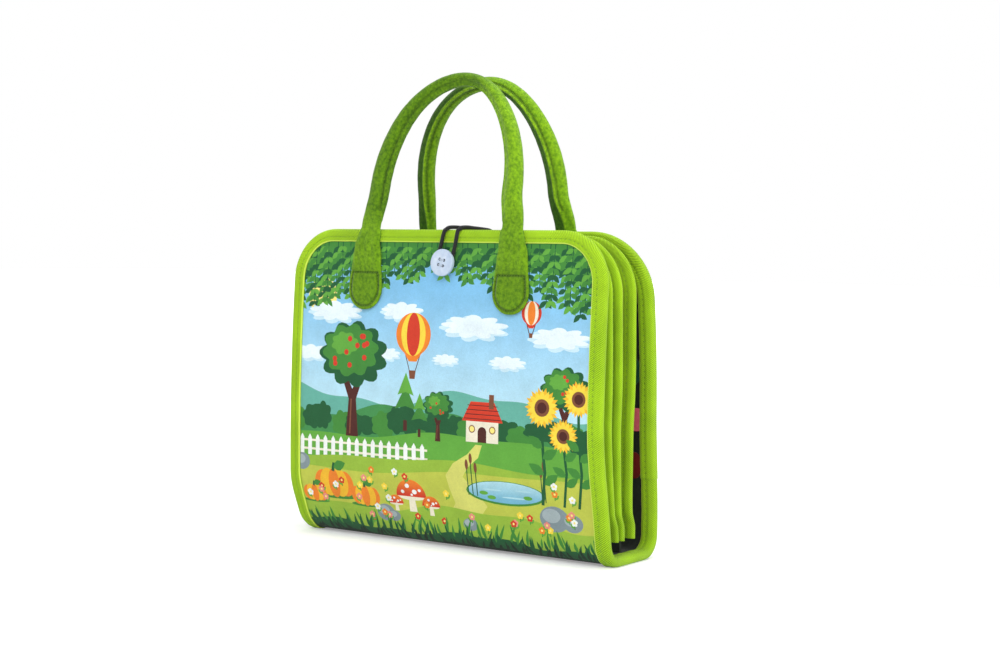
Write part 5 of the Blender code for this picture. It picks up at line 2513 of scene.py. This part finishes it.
def even_steps(line: Outline, pitch: float, length: float) -> list[Outline]:
    """Cut a flat line into evenly spaced stitches.

    Args:
        line: its points.
        pitch: from one stitch to the next.
        length: length of a stitch.

    Returns:
        The two ends of each stitch.
    """
    lengths = lengths_along(line)

    def at(target: float) -> tuple[float, float]:
        """The point at a length."""
        index, share = share_at(lengths, target)
        return tuple(a + (b - a) * share for a, b in zip(line[index], line[index + 1]))

    count = max(int(lengths[-1] / pitch), 1)
    step = lengths[-1] / count
    return [[at(index * step + (step + sign * length) / 2) for sign in (-1, 1)]
            for index in range(count)]


def select_only(item: bpy.types.Object | None = None) -> None:
    """Leave nothing selected but one object, if any, which becomes the active one.

    Args:
        item: the object.
    """
    for other in bpy.context.selected_objects:
        other.select_set(False)
    if item:
        item.select_set(True)
    bpy.context.view_layer.objects.active = item


@dataclass
class ButtonDress:
    """Four-hole button on the front cover with its thread and shank.

    Args:
        finishes: the materials.
        spread: how far the holes stand from its middle, both ways.
        shank: how far its back stands off the felt.
        wound: radius at which the shank's thread is wound.
        wound_thread: radius of that thread.
        hole_thread: radius of the thread through the holes.
        smooth_deg: edges sharper than this stay sharp.
    """

    finishes: Finishes
    radius: float = 0.0105
    thick: float = 0.0032
    edge: float = 0.0012
    ring: float = 0.0036
    slope: float = 0.0018
    dish: float = 0.0012
    hole: float = 0.00112
    spread: float = 0.0022
    twist_deg: float = -12.0
    tilt_deg: float = 5.5
    shank: float = 0.0050
    wound: float = 0.0016
    wound_thread: float = 0.00055
    hole_thread: float = 0.00026
    smooth_deg: float = 35.0

    @property
    def back_y(self) -> float:
        """Y of the button's back face."""
        return -(BOOK.depth(BUTTON_HEIGHT, Side.FRONT) + self.shank)

    @property
    def holes(self) -> list[Vector]:
        """Middles of the holes on the button's own face.

        Returns:
            The four places.
        """
        turn = Matrix.Rotation(math.radians(self.twist_deg), 2)
        return [turn @ Vector((x, y)) for y in (-self.spread, self.spread)
                for x in (-self.spread, self.spread)]

    @property
    def place(self) -> Vector:
        """Middle of the button's back."""
        return Vector((BUTTON_MIDDLE, self.back_y, BUTTON_HEIGHT))

    def on_face(self, x: float, y: float, off: float) -> Vector:
        """Carry a place on the button's face, off its back by some height, into the book."""
        turn = Matrix.Rotation(math.radians(90 - self.tilt_deg), 3, "X")
        return turn @ Vector((x, y, off)) + self.place

    def build(self) -> list[bpy.types.Object]:
        """Make the button and its thread."""
        return [self._button(), self._thread()]

    def _button(self) -> bpy.types.Object:
        """Model the button face up, then stand it on the cover.

        Returns:
            The piece.
        """
        select_only()
        bpy.ops.mesh.primitive_cylinder_add(vertices=72, radius=self.radius, depth=self.thick,
                                            location=(0, 0, self.thick / 2))
        item = bpy.context.active_object
        item.name = item.data.name = "button_face"
        bpy.ops.object.mode_set(mode="EDIT")
        self._select_top(item)
        for width, rise in ((self.edge, 0.0005), (self.ring, -0.0001), (self.slope, -self.dish),
                            (0.0010, -0.0001)):
            bpy.ops.mesh.inset(thickness=width, depth=rise)
        bpy.ops.object.mode_set(mode="OBJECT")
        bevel = item.modifiers.new("soft_edges", "BEVEL")
        bevel.width = 0.00055
        bevel.segments = 4
        bevel.limit_method = "ANGLE"
        bevel.angle_limit = math.radians(14)
        bpy.ops.object.modifier_apply(modifier=bevel.name)
        cutters = []
        for x, y in self.holes:
            select_only()
            bpy.ops.mesh.primitive_cylinder_add(vertices=24, radius=self.hole, depth=0.01,
                                                location=(x, y, 0.001))
            cutters.append(bpy.context.active_object)
        for cutter in cutters:
            select_only(item)
            cut = item.modifiers.new("hole", "BOOLEAN")
            cut.operation = "DIFFERENCE"
            cut.solver = "EXACT"
            cut.object = cutter
            bpy.ops.object.modifier_apply(modifier=cut.name)
            bpy.data.objects.remove(cutter, do_unlink=True)
        item.data.materials.clear()
        for finish in (self.finishes["button_plastic"], self.finishes["painted_hole_shade"]):
            item.data.materials.append(finish)
        # The hole walls get the dark finish: painted shade inside the holes.
        for face in item.data.polygons:
            beside = [math.hypot(face.center.x - x, face.center.y - y) for x, y in self.holes]
            face.material_index = int(min(beside) < self.hole * 1.02 and abs(face.normal.z) < 0.2)
        item.rotation_euler = (math.radians(90 - self.tilt_deg), 0, 0)
        item.location = self.place
        select_only(item)
        bpy.ops.object.transform_apply(location=True, rotation=True, scale=True)
        bpy.ops.object.shade_smooth_by_angle(angle=math.radians(self.smooth_deg))
        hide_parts("button")
        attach(item, "front_cover")
        return item

    def _select_top(self, item: bpy.types.Object) -> None:
        """Select the button's upper face in edit mode.

        Args:
            item: the object being edited.
        """
        bpy.ops.mesh.select_all(action="DESELECT")
        work = bmesh.from_edit_mesh(item.data)
        for face in work.faces:
            level = abs(face.calc_center_median().z - self.thick) < 1e-5
            face.select_set(face.normal.z > 0.9 and level)
        bmesh.update_edit_mesh(item.data)

    def _thread(self) -> bpy.types.Object:
        """Wound shank and the two stitches through the holes.

        Returns:
            The piece.
        """
        made = MeshDraft()
        top = self.thick - self.dish
        start_y = -(BOOK.depth(BUTTON_HEIGHT, Side.FRONT) + 0.0002)
        turns, per_turn = 5, 12
        line = []
        for step in range(turns * per_turn + 1):
            angle = 2 * math.pi * step / per_turn
            share = step / (turns * per_turn)
            y = start_y + (self.back_y + CLEAR - start_y) * share
            line.append(Vector((BUTTON_MIDDLE + self.wound * math.cos(angle), y,
                                BUTTON_HEIGHT + self.wound * math.sin(angle))))
        add_tube(made, line, self.wound_thread, 6)
        for left, right in (self.holes[:2], self.holes[2:]):
            for shift in (-0.00027, 0.00027):
                shares = [0.5 - 0.40 * math.cos(math.pi * step / 12) for step in range(13)]
                rises = [top + 0.0002 + 0.0005 * math.sin(math.pi * step / 12) ** 0.6
                         for step in range(13)]
                loop = []
                for share, rise in zip([0.10, *shares, 0.90], [-0.0002, *rises, -0.0002]):
                    spot = left.lerp(right, share)
                    loop.append(self.on_face(spot.x, spot.y + shift, rise))
                add_tube(made, loop, self.hole_thread, 8)
        item = made.build("button_thread_wound", [self.finishes["button_thread_wound"]], 60.0)
        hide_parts("button_thread")
        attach(item, "front_cover")
        return item


def add_tube(made: MeshDraft, line: Sequence[Vector], radius: float, sides: int = 12) -> None:
    """Add a round tube along a line.

    Args:
        made: the draft to add to.
        line: the points that it follows.
        radius: its radius.
        sides: how many sides it has.
    """
    turns = [2 * math.pi * step / sides for step in range(sides + 1)]
    side = run_at(line, 0).orthogonal().normalized()
    rings = []
    for index, point in enumerate(line):
        run = run_at(line, index)
        side = (side - run * side.dot(run)).normalized()
        up = run.cross(side)
        rings.append([point + side * (radius * math.cos(turn)) + up * (radius * math.sin(turn))
                      for turn in turns[:-1]])
    made.add_rings(rings, [radius * turn for turn in turns], lengths_along(line))


@dataclass
class ClosureDress:
    """Elastic loop from the back cover over the button, and the tape that holds its ends.

    Args:
        finishes: the materials.
        near_middle: x of the loop's middle under the front tape.
        edge_middle: x of its middle over the front edge.
        middle: x of its middle at the back cover.
        at_button: half its width above the button.
        at_top: half its width over the front edge.
        at_pages: half its width over the pages.
        at_anchor: half its width at the anchor.
        sag: how far it hangs over the pages.
        dip: how far under the tape's top its ends are sewn.
        nose: radius at which it turns over the front edge.
        tape_step: how far the tape stands off the felt.
        tape_width: how far down the tape reaches for the elastic.
    """

    finishes: Finishes
    tape_top: float = TAPE_TOP
    radius: float = 0.0015
    shank_radius: float = 0.0022
    near_middle: float = 0.0072
    edge_middle: float = 0.0101
    middle: float = 0.0155
    at_button: float = 0.0068
    at_top: float = 0.0058
    at_pages: float = 0.0030
    at_anchor: float = 0.0020
    sag: float = 0.0014
    dip: float = 0.0030
    nose: float = 0.0033
    tape_step: float = 0.0011
    tape_width: float = 0.0105
    anchor_half: float = 0.0065
    anchor_height: float = 0.0090
    anchor_thick: float = 0.0014

    @property
    def inner_face(self) -> float:
        """Y of the inner face of the back cover's tape at its top."""
        return BOOK.depth(BOOK.top, Side.BACK) - BOOK.stack - self.tape_step

    def route(self, direction: int) -> list[Vector]:
        """One strand, from the anchor over the top and round the button's shank.

        Args:
            direction: 1 for the right strand and -1 for the left one.

        Returns:
            The points that it follows.
        """
        clear = self.radius + CLEAR
        top = self.tape_top + clear
        deep = BOOK.depth(BOOK.top, Side.FRONT)
        anchor_y = self.inner_face - self.anchor_thick - 2 * CLEAR
        turn = self.shank_radius + clear
        face = BOOK.depth(BUTTON_HEIGHT - turn - 2 * self.radius, Side.FRONT) + clear
        tape_edge = BOOK.top - self.tape_width
        past = BOOK.depth(tape_edge, Side.FRONT) + self.tape_step + clear
        line = [
            (self.at_anchor, self.middle, anchor_y, top - self.dip),
            (self.at_anchor, self.middle, anchor_y - 4 * self.radius, top - self.dip),
            (self.at_pages, self.middle, 0.007, top - self.dip + 0.0003),
            (self.at_pages + 0.0004, self.middle - 0.0004, 0.0005, top - self.sag),
            ((self.at_pages + self.at_top) / 2, (self.middle + self.edge_middle) / 2, -deep / 2,
             top - self.sag / 5),
            (self.at_top, self.edge_middle + 0.0016, 0.008 - deep, top + CLEAR / 2),
        ]
        across, rise = BOOK.stack / 2 + self.tape_step + clear, self.nose + clear
        for share in (0.0, 0.28, 0.56, 0.84):
            angle = math.pi / 2 * (1 + share)
            line.append((self.at_top + 0.0007 * share, self.edge_middle + 0.0010 - 0.0026 * share,
                         BOOK.stack / 2 - deep + across * math.cos(angle),
                         self.tape_top - self.nose + rise * math.sin(angle)))
        line += [
            (self.at_button, self.near_middle, -past - CLEAR, tape_edge - self.radius),
            (self.at_button, BUTTON_MIDDLE, -face, BUTTON_HEIGHT + 2 * self.radius),
            (turn, BUTTON_MIDDLE, -face, BUTTON_HEIGHT - self.radius),
        ]
        for step in (1, 2, 3):
            angle = math.pi / 6 * step
            line.append((turn * math.cos(angle), BUTTON_MIDDLE, -face,
                         BUTTON_HEIGHT - self.radius - turn * math.sin(angle)))
        return [Vector((middle + direction * half, y, z)) for half, middle, y, z in line]

    def build(self) -> list[bpy.types.Object]:
        """Make the loop and its anchor.

        Returns:
            The pieces.
        """
        right = self.route(1)
        left = self.route(-1)[:-1]
        made = MeshDraft()
        add_tube(made, smooth_line(right + left[::-1], 7), self.radius, 16)
        loop = made.build("elastic_cord", [self.finishes["round_elastic"]], 60.0)
        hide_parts("elastic_loop")
        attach(loop, "back_cover")
        self.inner_face
        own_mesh(loop)
        near = -self.inner_face + CLEAR
        top = self.tape_top - 0.0004
        place: Place = lambda x, v, off: Vector((x, -near - off, v))
        outline = round_box(self.middle - self.anchor_half, self.middle + self.anchor_half,
                            top - self.anchor_height, top, 0.0006)
        anchor = FeltPlate(outline, place, 0.0, -self.anchor_thick).build(
            "elastic_patch", [self.finishes["black_felt"]])
        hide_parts("elastic_anchor")
        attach(anchor, "back_cover")
        return [loop, anchor]


def smooth_line(points: Sequence[Vector], steps: int) -> list[Vector]:
    """Read points from a smooth curve that passes through the given ones.

    Args:
        points: the points to pass through.
        steps: points read between two of them.

    Returns:
        The finer line.
    """
    line = []
    last = len(points) - 1
    for index in range(last):
        before = points[max(index - 1, 0)]
        start, end = points[index], points[index + 1]
        after = points[min(index + 2, last)]
        for step in range(steps):
            share = step / steps
            line.append(0.5 * (2 * start + (end - before) * share
                               + (2 * before - 5 * start + 4 * end - after) * share ** 2
                               + (3 * start - before - 3 * end + after) * share ** 3))
    line.append(points[last])
    return line


def round_box(left: float, right: float, low: float, high: float, radius: float) -> Outline:
    """Outline of a rectangle with round corners.

    Args:
        left: its left edge.
        right: its right edge.
        low: its lower edge.
        high: its upper edge.
        radius: radius of its corners.

    Returns:
        The outline.
    """
    left, right, low, high = left + radius, right - radius, low + radius, high - radius
    corners = ((right, high, 0), (left, high, 90), (left, low, 180), (right, low, 270))
    return [point for x, v, start in corners
            for point in oval(x, v, radius, radius, 6, start, start + 90)]


@dataclass
class LiningShapes:
    """Felt shapes sewn to the lining of the back cover.

    Args:
        finishes: the materials.
        shapes: name, length, lower edge, upper edge and radius of the corners of each.
    """

    finishes: Finishes
    thick: float = 0.0012
    right: float = 0.1382
    shapes: tuple[tuple[str, float, float, float, float], ...] = (
        ("pink", 0.072, 0.0975, 0.1152, 0.0020), ("red", 0.040, 0.0605, 0.0812, 0.0060),
        ("teal", 0.034, 0.1310, 0.1560, 0.0100))

    def build(self) -> list[bpy.types.Object]:
        """Make the three shapes.

        Returns:
            The pieces.
        """
        made = []
        for name, length, low, high, corner in self.shapes:
            outline = round_box(self.right - length, self.right, low, high, corner)
            off = -BOOK.stack - CLEAR
            piece = FeltPlate(outline, BOOK.on(Side.BACK), off, off - self.thick,
                              [low + (high - low) * step / 4 for step in (1, 2, 3)]).build(
                name + "_shape", [self.finishes[name + "_felt"]])
            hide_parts(name + "_patch")
            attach(piece, "back_cover")
            made.append(piece)
        return made


@dataclass
class Studio:
    """Pale floor, soft lights and the camera.

    Args:
        azimuth_deg: how far round to the right the camera stands.
        down_deg: how far it looks down.
        roll_deg: how far it is tipped.
        focal_mm: its focal length on a sensor 36 mm wide.
        place: where it stands.
        look_at: point that the lamps look at.
        lamps: name, place, length of the sides and power in watts of each lamp.
    """

    azimuth_deg: float = 34.6
    down_deg: float = 2.7
    roll_deg: float = 0.82
    focal_mm: float = 62.5
    place: tuple[float, float, float] = (0.802, -1.116, 0.234)
    look_at: tuple[float, float, float] = (0.0, 0.0, 0.15)
    lamps: tuple[tuple[str, tuple[float, float, float], float, float], ...] = (
        ("key", (0.7, -1.5, 1.4), 1.0, 15.0), ("side", (1.9, -0.1, 0.8), 1.1, 15.0),
        ("left", (-1.3, -1.2, 0.8), 1.2, 4.0), ("top", (0.1, 0.2, 1.8), 1.2, 15.0))

    def build(self) -> None:
        """Set everything up."""
        self._camera()
        self._floor()
        self._world()
        for lamp in self.lamps:
            self._lamp(*lamp)
        bpy.context.scene.view_settings.view_transform = "Standard"

    def _camera(self) -> None:
        """Add the camera."""
        data = bpy.data.cameras.new("view")
        data.sensor_width = 36
        data.lens = self.focal_mm
        data.clip_start = 0.01
        item = bpy.data.objects.new("view", data)
        turn = (Matrix.Rotation(math.radians(self.azimuth_deg), 4, "Z")
                @ Matrix.Rotation(math.radians(90 - self.down_deg), 4, "X")
                @ Matrix.Rotation(math.radians(self.roll_deg), 4, "Z"))
        item.matrix_world = Matrix.Translation(self.place) @ turn
        bpy.context.scene.collection.objects.link(item)
        bpy.context.scene.camera = item

    def _lamp(self, name: str, place: tuple[float, float, float], size: float,
              power: float) -> None:
        """Add a soft lamp that looks at the book.

        Args:
            name: its name.
            place: where it stands.
            size: length of its sides.
            power: its power in watts.
        """
        data = bpy.data.lights.new(name, "AREA")
        data.size = size
        data.energy = power
        item = bpy.data.objects.new(name, data)
        item.location = place
        look = Vector(self.look_at) - Vector(place)
        item.rotation_euler = look.to_track_quat("-Z", "Y").to_euler()
        bpy.context.scene.collection.objects.link(item)

    def _floor(self) -> None:
        """Add the floor: pale, with the book's shadow, white where only the camera looks."""
        mesh = bpy.data.meshes.new("floor")
        reach = 12.0
        mesh.from_pydata([(-reach, -reach, 0), (reach, -reach, 0), (reach, reach, 0),
                          (-reach, reach, 0)], [], [(0, 1, 2, 3)])
        item = bpy.data.objects.new("floor", mesh)
        bpy.context.scene.collection.objects.link(item)
        material = bpy.data.materials.new("pale_floor")
        material.use_nodes = True
        maker = NodeTree(material.node_tree)
        far = maker.node("VectorMath", operation="LENGTH")
        maker.feed(maker.place(), far.inputs[0])
        fade = maker.times(maker.ramp(far.outputs["Value"], 0.3, 1.6), 0.9, 0.30)
        seen = maker.node("LightPath").outputs["Is Camera Ray"]
        shader = material.node_tree.nodes["Principled BSDF"]
        for label, value in {"Base Color": (0.86, 0.86, 0.86), "Roughness": 0.9,
                             "Specular IOR Level": 0.1, "Emission Color": (1, 1, 1),
                             "Emission Strength": maker.times(seen, fade)}.items():
            maker.feed(value, shader.inputs[label])
        mesh.materials.append(material)

    def _world(self) -> None:
        """Soft grey surroundings that look white to the camera and in reflections."""
        world = bpy.data.worlds.new("surroundings")
        bpy.context.scene.world = world
        world.use_nodes = True
        maker = NodeTree(world.node_tree)
        ground = world.node_tree.nodes["Background"]
        rays = maker.node("LightPath").outputs
        seen = maker.math("MAXIMUM", rays["Is Camera Ray"],
                          maker.math("MAXIMUM", rays["Is Glossy Ray"], rays["Is Transmission Ray"]))
        maker.feed((1, 1, 1), ground.inputs["Color"])
        maker.feed(maker.times(seen, 0.45, 0.55), ground.inputs["Strength"])


def report(pieces: Sequence[bpy.types.Object]) -> None:
    """Log each piece with its number of faces."""
    for piece in pieces:
        LOG.info("%s: %d faces", piece.name, len(piece.data.polygons))


def main() -> None:
    """Dress the book."""
    logging.basicConfig(level=logging.INFO, format="%(name)s: %(message)s")
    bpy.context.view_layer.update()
    finishes = all_finishes()
    for side in Side:
        picture = MeadowPrint(side.value + 7, side is Side.BACK)
        report(CoverDress(side, finishes, picture).build())
        report([HandleDress(side, finishes).build()])
    for number, (seam, lean, bow) in enumerate(PAGES, 1):
        report(PageDress(number, seam, lean, bow, finishes).build())
    report(ButtonDress(finishes).build())
    report(ClosureDress(finishes).build())
    report(LiningShapes(finishes).build())
    report([SpineStrip(finishes).build()])
    Studio().build()


if __name__ == "__main__":
    main()
